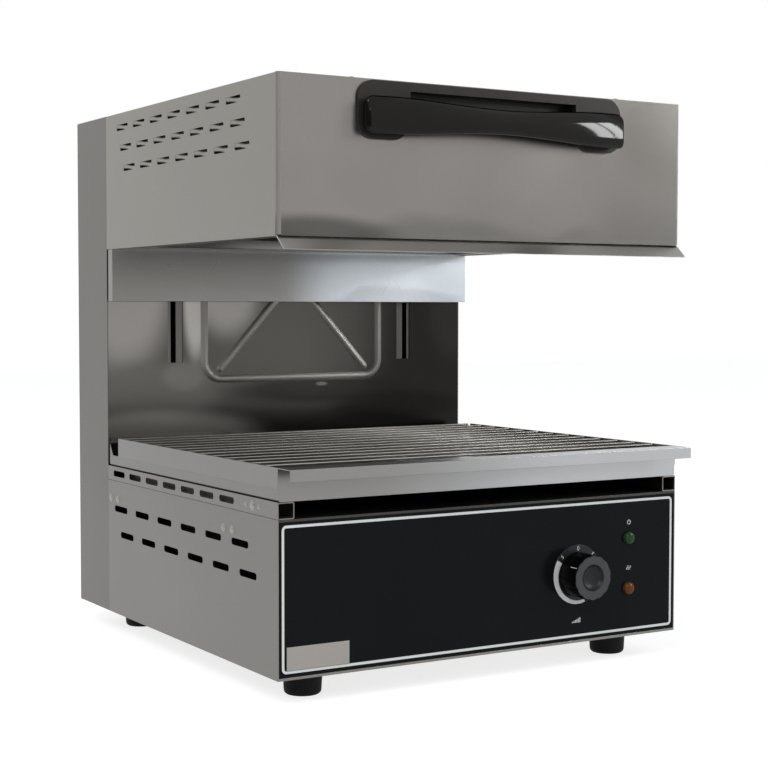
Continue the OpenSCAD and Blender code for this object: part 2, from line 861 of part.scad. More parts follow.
module pulley() {
    groove = pulley_r - cable_d / 2 - play;
    color(bright) body_frame() translate([guide_x, pulley_y, pulley_z]) rotate([0, 90, 0])
        rotate_extrude() difference() {
            area([axle_d / 2 + running, pulley_rim_r], [-pulley_w / 2, pulley_w / 2]);
            polygon([
                [groove, -cable_d / 2 - play], [pulley_rim_r + 1, -pulley_w / 2 + 0.8],
                [pulley_rim_r + 1, pulley_w / 2 - 0.8], [groove, cable_d / 2 + play]
            ]);
        }
}

module pulley_left() {
    mirror([1, 0, 0]) pulley();
}

module pulley_right() {
    pulley();
}

// Flat bar that hangs on the cable, drilled for its ferrule
module weight() {
    color(dark_steel) body_frame() translate([guide_x, weight_y, 0]) difference() {
        block([-weight_w / 2, weight_w / 2], [-weight_d / 2, weight_d / 2],
              [weight_top_z - weight_l, weight_top_z]);
        translate([0, 0, weight_top_z - ferrule_l])
            cylinder(h = ferrule_l + through, d = ferrule_d + 2 * play);
    }
}

module weight_left() {
    mirror([1, 0, 0]) weight();
}

module weight_right() {
    weight();
}

// Cable from the carriage over the pulley to the counterweight, with a crimped ferrule
module lift_cables() {
    wrap = [for (a = [180 : -15 : 0]) [0, pulley_y + pulley_r * cos(a), pulley_z + pulley_r * sin(a)]];
    path = concat([[0, roller_y, carriage_top_z + play], [0, roller_y, carriage_top_z + 10]], wrap,
                  [[0, weight_y, weight_top_z]]);
    color(bright) body_frame() for (x = [-guide_x, guide_x]) translate([x, 0, 0]) {
        tube_along(path, [for (p = path) [1, 0, 0]], cable_d / 2, 8);
        translate([0, weight_y, weight_top_z + play - ferrule_l]) cylinder(h = ferrule_l, d = ferrule_d);
    }
}

// ---- Head ----

// Front and two sides from above, with a bend of radius r at each front corner
module bent_2d(w, y0, y1, r) {
    area([-w, w], [y0 + r, y1]);
    area([r - w, w - r], [y0, y0 + r + 0.1]);
    for (side = [-1, 1]) translate([side * (w - r), y0 + r]) circle(r);
}

module head_front() {
    flat_x = half_w - front_bend;
    color(steel) body_frame() difference() {
        union() {
            translate([0, 0, head_z + 1.4]) linear_extrude(head_h - 1.4) difference() {
                bent_2d(half_w, head_y, head_y + front_return, front_bend);
                bent_2d(inner_x, head_inner_y, head_y + front_return + through, front_bend - sheet);
            }
            block([-flat_x, flat_x], [head_y, head_inner_y], [head_z + 0.4, head_z + 2]);
            block([-flat_x, flat_x], [head_y, head_y + top_flange], [top_z - 2 * sheet, top_z - sheet]);
        }
        block([-recess_w / 2, recess_w / 2], [head_y - through, head_inner_y + 0.01],
              [recess_z, recess_z + recess_h]);
    }
}

// Pressed louvre: two wedge-shaped openings on either side of a twisted blade
module louvre_2d() {
    l = louvre_l / 2;
    h = louvre_h / 2;
    polygon([[l * 0.76, h * 0.55], [-l * 0.94, h], [-l, h * 0.7], [-l * 0.92, -h * 0.42]]);
    polygon([[l, h * 0.12], [l * 0.97, -h * 0.8], [l * 0.82, -h], [-l * 0.84, -h * 0.62]]);
}

module head_side() {
    color(steel) body_frame() {
        sheet_yz(inner_x, sheet) difference() {
            area([head_y + front_return + play, column_y - head_gap], [head_z, top_z - sheet]);
            for (row = [0 : louvre_rows - 1], i = [0 : louvre_n - 1])
                translate([louvre_front + i * louvre_pitch - row * louvre_row_shift,
                           top_z - louvre_drop - row * louvre_row_gap]) louvre_2d();
        }
        block([inner_x - flange_w, inner_x + sheet / 2], [lip_shelf + play, column_y - head_gap],
              [head_z, head_z + sheet]);
    }
}

module head_side_left() {
    mirror([1, 0, 0]) head_side();
}

module head_side_right() {
    head_side();
}

module head_top() {
    color(steel) body_frame() difference() {
        translate([0, 0, top_z - sheet]) linear_extrude(sheet)
            bent_2d(inner_x, head_inner_y, column_y - head_gap, front_bend - sheet + 0.1);
        for (x = [-guide_x, guide_x]) translate([x, top_screw_y, top_z - 3]) cylinder(h = 4, d = 4.2);
    }
}

module head_screws() {
    color(bright) body_frame() {
        for (x = [-guide_x, guide_x]) translate([x, top_screw_y, top_z]) {
            rotate([0, -90, 0]) dome_rivet(8, 1.8, 0);
            translate([0, 0, -sheet]) cylinder(h = sheet + 0.2, d = 4);
        }
        for (x = [-side_screw_x, side_screw_x])
            translate([x, side_screw_y, top_z]) rotate([0, -90, 0]) dome_rivet(8, 1.8, 0);
    }
}

module head_rear() {
    color(steel) body_frame() sheet_xz(head_back_y - sheet, sheet) difference() {
        area([-inner_x, inner_x], [floor_top_z, top_z - sheet]);
        for (side = [-1, 1]) translate([side * guide_x, (arm_bottom_z + arm_top_z) / 2])
            square([arm_t + 1, arm_h + 3], center = true);
        for (side = [-1, 1], z = [arm_bottom_z + 14, arm_top_z - 14])
            translate([side * (guide_x + 16), z]) circle(d = 6.4);
        translate([lead_x, lead_exit_z]) circle(d = lead_d + 3);
    }
}

module head_floor() {
    color(steel) body_frame() difference() {
        translate([0, 0, floor_z]) linear_extrude(sheet)
            bent_2d(inner_x, head_inner_y, head_back_y, front_bend - sheet + 0.1);
        block([-reflector_x + 4, reflector_x - 4], [reflector_y0 + 4, reflector_y1 - 4],
              [floor_z - through, floor_top_z + through]);
    }
}

module apron() {
    apron_y = column_y - apron_back;
    color(steel) body_frame() {
        block([-half_w + 0.4, half_w - 0.4], [apron_y - sheet, apron_y], [head_z - apron_drop, head_z]);
        both_sides() block([half_w - 0.4 - sheet, half_w - 0.4], [apron_y - sheet / 2, column_y - 3],
                           [head_z - apron_drop, head_z - seam]);
        block([-inner_x + flange_w + play, inner_x - flange_w - play], [apron_y - 12, apron_y],
              [head_z, head_z + sheet]);
        block([-inner_x + flange_w + play, inner_x - flange_w - play], [apron_y - sheet, apron_y],
              [head_z - sheet, head_z + sheet]);
    }
}

// Deflector under the front: a shelf below the floor that turns down and forward
module deflector_lip() {
    root_y = head_y + lip_root;
    color(steel) body_frame() {
        block([-inner_x, inner_x], [root_y, lip_shelf], [head_z, head_z + sheet]);
        sheet_yz(-half_w, body_w) polygon([
            [root_y + 1.2, head_z + sheet], [root_y, head_z + sheet], [-lip_out, head_z - lip_drop],
            [1 - lip_out, head_z - lip_drop - 0.3], [root_y + 1.2, head_z]
        ]);
    }
}

module reflector() {
    color(bright) body_frame() difference() {
        block([-reflector_x, reflector_x], [reflector_y0, reflector_y1], [floor_top_z, reflector_z1]);
        block([sheet - reflector_x, reflector_x - sheet], [reflector_y0 + sheet, reflector_y1 - sheet],
              [floor_top_z - through, reflector_z1 - sheet]);
        for (y = element_ys, run = [0, element_span])
            translate([reflector_x - 3, y + run, element_z]) bar_x(6, element_d + 0.6);
    }
}

module insulation() {
    color(ceramic) body_frame()
        block([-reflector_x, reflector_x], [reflector_y0, reflector_y1],
              [reflector_z1, reflector_z1 + insulation_t]);
}

// Half-round bend of an element that joins two runs
module element_bend() {
    rotate([0, 0, -90]) rotate_extrude(angle = 180) translate([element_pitch / 2, 0]) circle(d = element_d);
}

module heating_element(y0) {
    x = element_run / 2;
    translate([0, y0, element_z]) {
        for (i = [0 : element_runs - 1]) translate([-x, i * element_pitch, 0]) bar_x(element_run, element_d);
        translate([x, 1.5 * element_pitch, 0]) element_bend();
        for (i = [0.5, 2.5]) translate([-x, i * element_pitch, 0]) mirror([1, 0, 0]) element_bend();
        for (i = [0, element_runs - 1]) translate([x, i * element_pitch, 0]) {
            bar_x(reflector_x - x + 10, element_d);
            bar_x(reflector_x - x + 17, 4);
        }
    }
}

module heating_elements() {
    color(dark_steel) body_frame() for (y = element_ys) heating_element(y);
}

// Combs that hang from the reflector and carry the elements
module element_supports() {
    color(bright) body_frame() for (x = [-comb_x, 0, comb_x])
        sheet_yz(x - comb_t / 2, comb_t) difference() {
        area([element_ys[0] - comb_margin, element_ys[1] + element_span + comb_margin],
             [element_z - element_d / 2 - 2, reflector_z1 - sheet]);
        for (y = element_ys, i = [0 : element_runs - 1])
            translate([y + i * element_pitch, element_z]) circle(d = element_d + 0.2);
    }
}

// Outline of the moulding behind the bar: straight along the top, with a lobe below each end
module moulding_2d() {
    w = handle_plate_w / 2;
    h = handle_plate_h;
    arch_h = 34;
    r = 16;
    translate([0, handle_top_z]) {
        for (side = [-1, 1]) translate([side * (w - lobe_w / 2), -h / 2]) slot_2d(lobe_w, h, r);
        for (side = [-1, 1]) translate([side * (w - lobe_w / 2 - r / 2), -r - 3])
            square([lobe_w - r, 2 * r + 6], center = true);
        area([-w + r, w - r], [-arch_h, 0]);
    }
}

module handle_moulding() {
    color(black_gloss) body_frame() difference() {
        union() {
            sheet_xz(head_y - moulding_t, moulding_t) moulding_2d();
            block([-recess_w / 2, recess_w / 2], [head_y - moulding_t / 2, head_y + recess_d],
                  [recess_z, recess_z + recess_h]);
        }
        block([-recess_w / 2 + 2, recess_w / 2 - 2], [head_y - moulding_t - through, head_y + recess_d - 2],
              [recess_z + 2, recess_z + recess_h - 2]);
    }
}

// Height of the bar at x, from the waist at its middle to its full ends
function bar_blend(x) = (1 - cos(180 * min(1, abs(x) / (handle_w / 2 - 18)))) / 2;

function bar_half(x) = handle_mid_h / 2 + (handle_end_h - handle_mid_h) / 2 * bar_blend(x);

// How far the bar bows out at x
function bar_bow(x) = handle_bow * (1 + cos(180 * min(1, abs(x) / (handle_w / 2 - 18)))) / 2;

module bar_front_2d() {
    step = handle_w / 40;
    r = 5;
    ends = handle_w / 2;
    xs = [for (i = [-19 : 19]) i * step];
    polygon(concat(
        [for (x = xs) [x, bar_half(x)]],
        [[ends - 1.5, bar_half(ends) - 1.5], [ends, bar_half(ends) - r]],
        [[ends, -bar_half(ends) + r], [ends - 1.5, -bar_half(ends) + 1.5]],
        [for (i = [19 : -1 : -19]) [i * step, -bar_half(i * step)]],
        [[1.5 - ends, -bar_half(ends) + 1.5], [-ends, -bar_half(ends) + r]],
        [[-ends, bar_half(ends) - r], [1.5 - ends, bar_half(ends) - 1.5]]
    ));
}

module bar_plan_2d() {
    step = handle_w / 40;
    steps = [-20 : 20];
    polygon(concat(
        [for (i = steps) [i * step, handle_ys - bar_bow(i * step)]],
        [for (i = [20 : -1 : -20]) [i * step, handle_ys + bar_t - bar_bow(i * step)]]
    ));
}

module handle_bar() {
    post_w = lobe_w - 14;
    color(black_gloss) body_frame() translate([0, 0, handle_mid_z]) {
        intersection() {
            translate([0, head_y - moulding_t, 0]) rotate([90, 0, 0]) linear_extrude(60) bar_front_2d();
            translate([0, 0, -30]) linear_extrude(60) bar_plan_2d();
        }
        for (side = [-1, 1]) translate([side * (handle_w / 2 - post_w / 2 - 2), 0, 0])
            block([-post_w / 2, post_w / 2], [handle_ys + 2, head_y - moulding_t],
                  [-bar_half(handle_w / 2) + 3, bar_half(handle_w / 2) - 3]);
    }
}

// Arm that passes the slot, with a flange inside the head and a plate in the guide
module lift_arm() {
    difference() {
        union() {
            sheet_yz(guide_x - arm_t / 2, arm_t) polygon([
                [head_back_y - 22, arm_bottom_z], [guide_y + guide_t + 2, arm_bottom_z],
                [guide_y + guide_t + 2, carriage_bottom_z],
                [guide_y + guide_d - guide_t - 3, carriage_bottom_z],
                [guide_y + guide_d - guide_t - 3, carriage_top_z],
                [guide_y + guide_t + 2, carriage_top_z], [guide_y + guide_t + 2, arm_top_z],
                [head_back_y - 22, arm_top_z]
            ]);
            block([guide_x, guide_x + 28], [head_back_y - sheet - 4, head_back_y - sheet],
                  [arm_bottom_z + 4, arm_top_z - 4]);
        }
        for (z = [roller_low_z, roller_high_z])
            translate([guide_x - arm_t, roller_y, z]) bar_x(2 * arm_t, axle_d + 2 * running);
        for (z = [arm_bottom_z + 14, arm_top_z - 14])
            translate([guide_x + 16, head_back_y - 8, z]) bar_y(10, 6.4);
    }
}

// Each arm with the two bolts that fix its flange to the rear of the head
module lift_arms() {
    color(bright) body_frame() both_sides() {
        lift_arm();
        for (z = [arm_bottom_z + 14, arm_top_z - 14])
            translate([guide_x + 16, head_back_y - sheet - 4, z]) {
                bar_y(5.5, 6.2);
                rotate([90, 0, 0]) cylinder(h = 4, d = 11, $fn = 6);
            }
    }
}

module roller_axles() {
    color(bright) body_frame() both_sides() for (z = [roller_low_z, roller_high_z])
        translate([guide_x, roller_y, z]) {
            translate([-arm_t / 2 - 3, 0, 0]) bar_x(3, axle_d + 4);
            translate([-arm_t / 2, 0, 0]) bar_x(arm_t + roller_w + 3.5, axle_d);
            translate([arm_t / 2 + roller_w + 1.6, 0, 0]) bar_x(1.2, axle_d + 3);
        }
}

module roller(z) {
    color(ceramic) body_frame() translate([roller_x, roller_y, z]) difference() {
        bar_x(roller_w, roller_d);
        translate([-through, 0, 0]) bar_x(roller_w + 2 * through, axle_d + 2 * running);
        for (x = [-through, roller_w - 1.5]) translate([x, 0, 0]) difference() {
            bar_x(1.5 + through, roller_d - 5);
            bar_x(1.5 + through, axle_d + 5);
        }
    }
}

module roller_upper_left() {
    mirror([1, 0, 0]) roller(roller_high_z);
}

module roller_upper_right() {
    roller(roller_high_z);
}

module roller_lower_left() {
    mirror([1, 0, 0]) roller(roller_low_z);
}

module roller_lower_right() {
    roller(roller_low_z);
}

// ---- Tray, rack and knob ----

// Cross-section of the tray's trough, with bent lower edges
module trough_2d(w, r, h) {
    translate([-w / 2, r]) square([w, h - r]);
    translate([r - w / 2, 0]) square([w - 2 * r, r + 0.1]);
    for (side = [-1, 1]) translate([side * (w / 2 - r), r]) circle(r);
}

module tray_slice(y0, y1) {
    translate([0, y1, tray_z]) rotate([90, 0, 0]) linear_extrude(y1 - y0) children();
}

module drip_tray() {
    w = 2 * tray_wall_x;
    hem_z = tray_top_z - tray_hem_h;
    notch_y = tray_back_y - tray_notch;
    color(steel) body_frame() {
        difference() {
            tray_slice(0, tray_back_y) trough_2d(w, tray_bend, tray_h);
            tray_slice(sheet, tray_back_y - sheet) translate([0, sheet])
                trough_2d(w - 2 * sheet, tray_bend - sheet, tray_h + through);
            block([-half_w, half_w], [notch_y, tray_back_y - sheet], [hem_z, tray_top_z + through]);
            block([-half_w, half_w], [tray_back_y - 2 * sheet, tray_back_y + through],
                  [tray_top_z - 7, tray_top_z + through]);
        }
        both_sides() {
            block([tray_wall_x, half_w], [0, notch_y], [hem_z, tray_top_z]);
            block([tray_wall_x - sheet - ledge_w, tray_wall_x - sheet / 2], [sheet / 2, notch_y],
                  [ledge_top_z - sheet, ledge_top_z]);
            sheet_yz(tray_wall_x - sheet, sheet) polygon([
                [tray_back_y, hem_z - 1], [tray_back_y, hem_z + 12], [tray_back_y - 1, hem_z + 12],
                [tray_back_y - 9, hem_z], [tray_back_y - 9, hem_z - 1]
            ]);
        }
        block([-half_w, half_w], [-tray_lip_out, sheet], [tray_top_z - sheet, tray_top_z]);
        block([-half_w, half_w], [-tray_lip_out, sheet - tray_lip_out],
              [tray_top_z - tray_lip_h, tray_top_z]);
    }
}

module wire_rack() {
    rack_w = 2 * (tray_wall_x - sheet - 1.2);
    wire_back = wire_front + (wire_n - 1) * wire_pitch;
    color(bright) body_frame() {
        for (i = [0 : wire_n - 1]) translate([-rack_w / 2, wire_front + i * wire_pitch, wire_z])
            bar_x(rack_w, wire_d);
        for (x = [-rod_outer, -rod_inner, rod_inner, rod_outer])
            translate([x, wire_front - rod_over, rod_z]) bar_y(wire_back - wire_front + 2 * rod_over, rod_d);
    }
}

// Fluted knob with a dished face, on the regulator's shaft
module knob() {
    lobes = 14;
    back = seam - 1.5 - 0.5;
    l = knob_out + back;
    dish_d = 26.4;
    dish = 6;
    color(black_gloss) body_frame() translate([knob_x, back, knob_z]) rotate([90, 0, 0]) {
        difference() {
            union() {
                cylinder(h = l - 1.2, d = knob_d);
                translate([0, 0, l - 1.2]) cylinder(h = 1.2, d1 = knob_d, d2 = knob_d - 2.4);
            }
            for (i = [0 : lobes - 1]) rotate(360 * (i + 0.5) / lobes) translate([knob_d / 2 + 7.3, 0, 3])
                cylinder(h = l, r = 8);
            translate([0, 0, l - dish]) cylinder(h = dish + 0.01, d1 = dish_d - 9, d2 = dish_d);
        }
        translate([0, 0, -14]) cylinder(h = 15, d = shaft_d);
    }
}

base_shell();
base_deck();
control_panel();
panel_overlay();
name_plate();
dial_disc();
regulator();
lamp_green();
lamp_amber();
lamp_bodies();
terminal_block();
cable_gland();
base_loom();
heater_lead();
feet();
foot_screws();
tray_rail_left();
tray_rail_right();
rail_strip_left();
rail_strip_right();
dome_rivets();
column_side_left();
column_side_right();
column_top();
back_panel();
back_screws();
splash_back();
lift_guides();
weight_guides();
pulley_brackets();
pulley_axles();
weight_left();
weight_right();
lift_cables();
pulley_left();
pulley_right();
head_front();
head_side_left();
head_side_right();
head_top();
head_screws();
head_rear();
head_floor();
apron();
deflector_lip();
reflector();
insulation();
heating_elements();
element_supports();
handle_moulding();
handle_bar();
lift_arms();
roller_axles();
roller_upper_left();
roller_upper_right();
roller_lower_left();
roller_lower_right();
drip_tray();
wire_rack();
knob();
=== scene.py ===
import logging
import math
from dataclasses import dataclass, replace
from enum import Enum
from functools import lru_cache
from typing import Sequence

import bmesh
import bpy
from mathutils import Matrix, Vector


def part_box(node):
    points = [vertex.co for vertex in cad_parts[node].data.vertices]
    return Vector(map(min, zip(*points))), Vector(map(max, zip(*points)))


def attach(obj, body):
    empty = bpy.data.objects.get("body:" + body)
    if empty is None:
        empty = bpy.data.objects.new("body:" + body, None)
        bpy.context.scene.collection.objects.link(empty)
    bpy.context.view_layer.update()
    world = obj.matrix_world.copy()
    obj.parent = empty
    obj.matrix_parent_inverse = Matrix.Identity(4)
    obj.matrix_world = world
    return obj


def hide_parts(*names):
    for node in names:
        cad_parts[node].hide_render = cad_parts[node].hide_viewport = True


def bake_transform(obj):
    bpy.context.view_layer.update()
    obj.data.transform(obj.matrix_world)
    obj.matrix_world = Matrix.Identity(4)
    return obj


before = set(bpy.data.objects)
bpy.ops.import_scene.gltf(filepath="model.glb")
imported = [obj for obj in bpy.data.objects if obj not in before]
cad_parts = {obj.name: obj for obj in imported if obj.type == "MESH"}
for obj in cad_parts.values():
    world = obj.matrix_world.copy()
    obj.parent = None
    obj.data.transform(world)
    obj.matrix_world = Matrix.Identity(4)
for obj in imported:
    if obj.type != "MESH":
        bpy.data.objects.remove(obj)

log = logging.getLogger("lift_grill")
logging.basicConfig(level=logging.INFO, format="%(message)s")

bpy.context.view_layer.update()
MM = 0.001
HALF_W, SHEET = 225, 1
SIDES = {"left": -1, "right": 1}
SET_OUT = Matrix.Translation((0, -0.234, 0.0245)) @ Matrix.Scale(MM, 4)
"""From the drawing, in millimetres from the foot of the panel, to the model."""
BMesh, BMFace = bmesh.types.BMesh, bmesh.types.BMFace
Node, Socket = bpy.types.Node, bpy.types.NodeSocket
Material, Object = bpy.types.Material, bpy.types.Object
Inputs = dict[str | int, object]
Numbers = tuple[float, ...]


def linear(hex_colour: str) -> tuple[float, float, float, float]:
    """Turn a display colour into the linear values that shaders take.

    Args:
        hex_colour: A colour such as "#8f8e88".

    Returns:
        Red, green, blue and alpha.
    """
    parts = [int(hex_colour[i:i + 2], 16) / 255 for i in (1, 3, 5)]
    curve = [c / 12.92 if c <= 0.04045 else ((c + 0.055) / 1.055) ** 2.4 for c in parts]
    return curve[0], curve[1], curve[2], 1.0


# ---- Finishes ----


class Along(Enum):
    """The direction in which a sheet was polished."""

    X = (40, 1700, 1700)
    Y = (1700, 40, 1700)
    Z = (1700, 1700, 40)


class NodeBench:
    """A node tree with the few calls that the finishes and the studio need."""

    def __init__(self, owner: str | bpy.types.World) -> None:
        """Open a node tree.

        Args:
            owner: The name of a new material, or a world.
        """
        self.owner = bpy.data.materials.new(owner) if isinstance(owner, str) else owner
        self.owner.use_nodes = True
        self.tree = self.owner.node_tree

    def feed(self, node: Node, inputs: Inputs) -> None:
        """Fill a node's inputs.

        Args:
            node: The node.
            inputs: For each input a number, a vector, a display colour, or what is linked to it.
        """
        for key, value in inputs.items():
            if isinstance(value, Node):
                value = value.outputs[0]
            if isinstance(value, Socket):
                self.tree.links.new(value, node.inputs[key])
            else:
                node.inputs[key].default_value = linear(value) if isinstance(value, str) else value

    def add(self, kind: str, inputs: Inputs | None = None, **settings: object) -> Node:
        """Add a node.

        Args:
            kind: The node's type without the ShaderNode prefix.
            inputs: What its inputs take, as in feed.
            **settings: Its properties.

        Returns:
            The new node.
        """
        node = self.tree.nodes.new("ShaderNode" + kind)
        for key, value in settings.items():
            setattr(node, key, value)
        self.feed(node, inputs or {})
        return node

    def place(self, scale: Sequence[float], shift: Sequence[float] = (0, 0, 0), turn: float = 0) -> Socket:
        """Object coordinates, moved and scaled.

        Args:
            scale: Repeats per metre on each axis.
            shift: Offset added after scaling.
            turn: Turn about Y in degrees.

        Returns:
            The socket that holds the coordinates.
        """
        return self.add("Mapping", {"Vector": self.add("TexCoord").outputs["Object"], "Location": shift,
                                    "Rotation": (0, math.radians(turn), 0), "Scale": scale}).outputs[0]

    def noise(self, scale: Sequence[float], shift: Sequence[float] = (0, 0, 0), detail: float = 2,
              rough: float = 0.5) -> Socket:
        """Noise on object coordinates.

        Args:
            scale: Repeats per metre on each axis.
            shift: Offset added after scaling.
            detail: Octaves of detail.
            rough: How much the finer octaves add.

        Returns:
            The socket that holds the noise.
        """
        return self.add("TexNoise", {"Vector": self.place(scale, shift), "Scale": 1, "Detail": detail,
                                     "Roughness": rough}).outputs["Fac"]

    def fit(self, value: Socket, low: float, high: float, source: Sequence[float] = (0.2, 0.8)) -> Socket:
        """Map a range of values to another with eased ends.

        Args:
            value: The socket to map.
            low: What the source's first value becomes.
            high: What its second value becomes.
            source: The range that comes in; most of a noise lies in the usual one.

        Returns:
            The socket that holds the result.
        """
        inputs = zip(("Value", "From Min", "From Max", "To Min", "To Max"), (value, *source, low, high))
        return self.add("MapRange", dict(inputs), interpolation_type="SMOOTHERSTEP").outputs["Result"]

    def join(self, operation: str, *values: Socket) -> Socket:
        """Run values through one operation, two by two.

        Args:
            operation: The Math node's operation.
            *values: The sockets that hold the values.

        Returns:
            The socket that holds the result.
        """
        total = values[0]
        for value in values[1:]:
            total = self.add("Math", {0: total, 1: value}, operation=operation).outputs[0]
        return total

    def blend(self, how_much: Socket, low: str | Socket, high: str | Socket) -> Socket:
        """Mix two colours.

        Args:
            how_much: 0 gives the low colour and 1 the high colour.
            low: A display colour or a socket.
            high: A display colour or a socket.

        Returns:
            The socket that holds the mixed colour.
        """
        return self.add("Mix", {0: how_much, 6: low, 7: high}, data_type="RGBA").outputs[2]

    def seen(self) -> Socket:
        """1 for rays that show the background, 0 for rays that only light."""
        path = self.add("LightPath").outputs
        return self.join("MAXIMUM", *(path[f"Is {ray} Ray"] for ray in ("Camera", "Glossy", "Transmission")))

    def finished(self, inputs: Inputs, *relief: Socket | float) -> Material:
        """Fill the Principled shader.

        Args:
            inputs: What its inputs take, as in feed.
            *relief: A height that disturbs the surface, its strength from 0 to 1, and its size in metres.

        Returns:
            The material.
        """
        if relief:
            inputs = {**inputs, "Normal": self.add("Bump", dict(zip(("Height", "Strength", "Distance"), relief)))}
        self.feed(self.tree.nodes["Principled BSDF"], inputs)
        return self.owner

    def surface(self, shader: Node) -> Material:
        """Show another shader than the Principled one.

        Args:
            shader: The shader.

        Returns:
            The material.
        """
        self.tree.nodes.remove(self.tree.nodes["Principled BSDF"])
        self.feed(self.tree.nodes["Material Output"], {"Surface": shader})
        return self.owner


@dataclass(frozen=True)
class PaintedFade:
    """Painted shade or light that comes in along one axis, between two places in metres."""

    axis: str
    start: float
    end: float
    colour: str
    most: float = 1.0
    waver: float = 0.012


@dataclass(frozen=True)
class PaintedPatch:
    """A soft-edged oval of painted shade, highlight or reflection on an upright sheet, in millimetres on the
    drawing.
    """

    across: float
    up: float
    width: float
    height: float
    colour: str
    most: float = 1.0
    turn: float = 0.0


@dataclass(frozen=True)
class SheetSteel:
    """Stainless sheet with a fine polish along one direction and faint unevenness, with painted shade, highlights
    and reflections laid on as fades and patches.
    """

    name: str
    dark: str
    light: str
    roughness: float
    polish: Along
    grain: float = 0.05
    painted_fades: tuple[PaintedFade, ...] = ()
    painted_patches: tuple[PaintedPatch, ...] = ()

    def build(self) -> Material:
        """Make the material."""
        bench = NodeBench(self.name)
        lines = bench.noise(self.polish.value, detail=3, rough=0.6)
        clouds = bench.noise((7, 7, 7))
        broad = bench.noise((2.2, 2.2, 2.2), (3.1, 1.7, 0.4), detail=1)
        drift = bench.noise((9, 9, 9), (1, 5, 2), detail=1)
        tone = bench.join("ADD", bench.fit(clouds, 0, 0.35), bench.fit(broad, 0, 0.5), bench.fit(lines, 0, 0.15))
        colour = bench.blend(tone, self.dark, self.light)
        # Painted shade and light that come in along an axis.
        for fade in self.painted_fades:
            split = bench.add("SeparateXYZ", {0: bench.place((1, 1, 1))})
            place = bench.join("ADD", split.outputs[fade.axis], bench.fit(drift, -fade.waver, fade.waver))
            amounts = (0, fade.most) if fade.end > fade.start else (fade.most, 0)
            amount = bench.fit(place, *amounts, sorted((fade.start, fade.end)))
            colour = bench.blend(amount, colour, fade.colour)
        # Painted highlights, reflections and shade as soft ovals.
        for patch in self.painted_patches:
            middle = SET_OUT @ Vector((patch.across, 0, patch.up))
            size = (2 / patch.width / MM, 0, 2 / patch.height / MM)
            shift = -(rotation("Y", patch.turn) @ Matrix.Diagonal((*size, 1)) @ middle)
            ball = bench.add("TexGradient", {0: bench.place(size, shift, patch.turn)}, gradient_type="SPHERICAL")
            colour = bench.blend(bench.fit(ball.outputs["Fac"], 0, patch.most, (0, 0.6)), colour, patch.colour)
        spread = bench.fit(clouds, self.roughness - 0.03, self.roughness + 0.03)
        return bench.finished({"Metallic": 1, "Base Color": colour, "Roughness": spread},
                              lines, self.grain, 0.00008)


@dataclass(frozen=True)
class Moulded:
    """Moulded plastic, rubber or ceramic with a fine surface."""

    name: str
    dark: str
    light: str
    roughness: float
    specular: float
    texture: float
    cells: float = 900

    def build(self) -> Material:
        """Make the material."""
        bench = NodeBench(self.name)
        fine = bench.noise((self.cells,) * 3)
        broad = bench.noise((14, 14, 14))
        spread = bench.fit(broad, self.roughness * 0.88, self.roughness * 1.12)
        return bench.finished({"Specular IOR Level": self.specular, "Roughness": spread,
                               "Base Color": bench.blend(broad, self.dark, self.light)},
                              fine, self.texture, 0.00006)


@dataclass(frozen=True)
class Print:
    """Screen-printed ink on the panel and the dial."""

    name: str
    colour: str

    def build(self) -> Material:
        """Make the material."""
        bench = NodeBench(self.name)
        mottle = bench.noise((1200, 1200, 1200), detail=1)
        return bench.finished({"Roughness": 0.45, "Specular IOR Level": 0.3,
                               "Base Color": bench.blend(mottle, self.colour, "#d8dad9")})


@dataclass(frozen=True)
class Lens:
    """Tinted plastic lens of a lamp that is switched off."""

    name: str
    dark: str
    light: str

    def build(self) -> Material:
        """Make the material."""
        bench = NodeBench(self.name)
        cells = bench.noise((420, 420, 420), detail=1)
        return bench.finished({"Roughness": 0.1, "Specular IOR Level": 0.12, "Coat Weight": 0.06,
                               "Coat Roughness": 0.04, "Base Color": bench.blend(cells, self.dark, self.light)},
                              cells, 0.2, 0.0002)


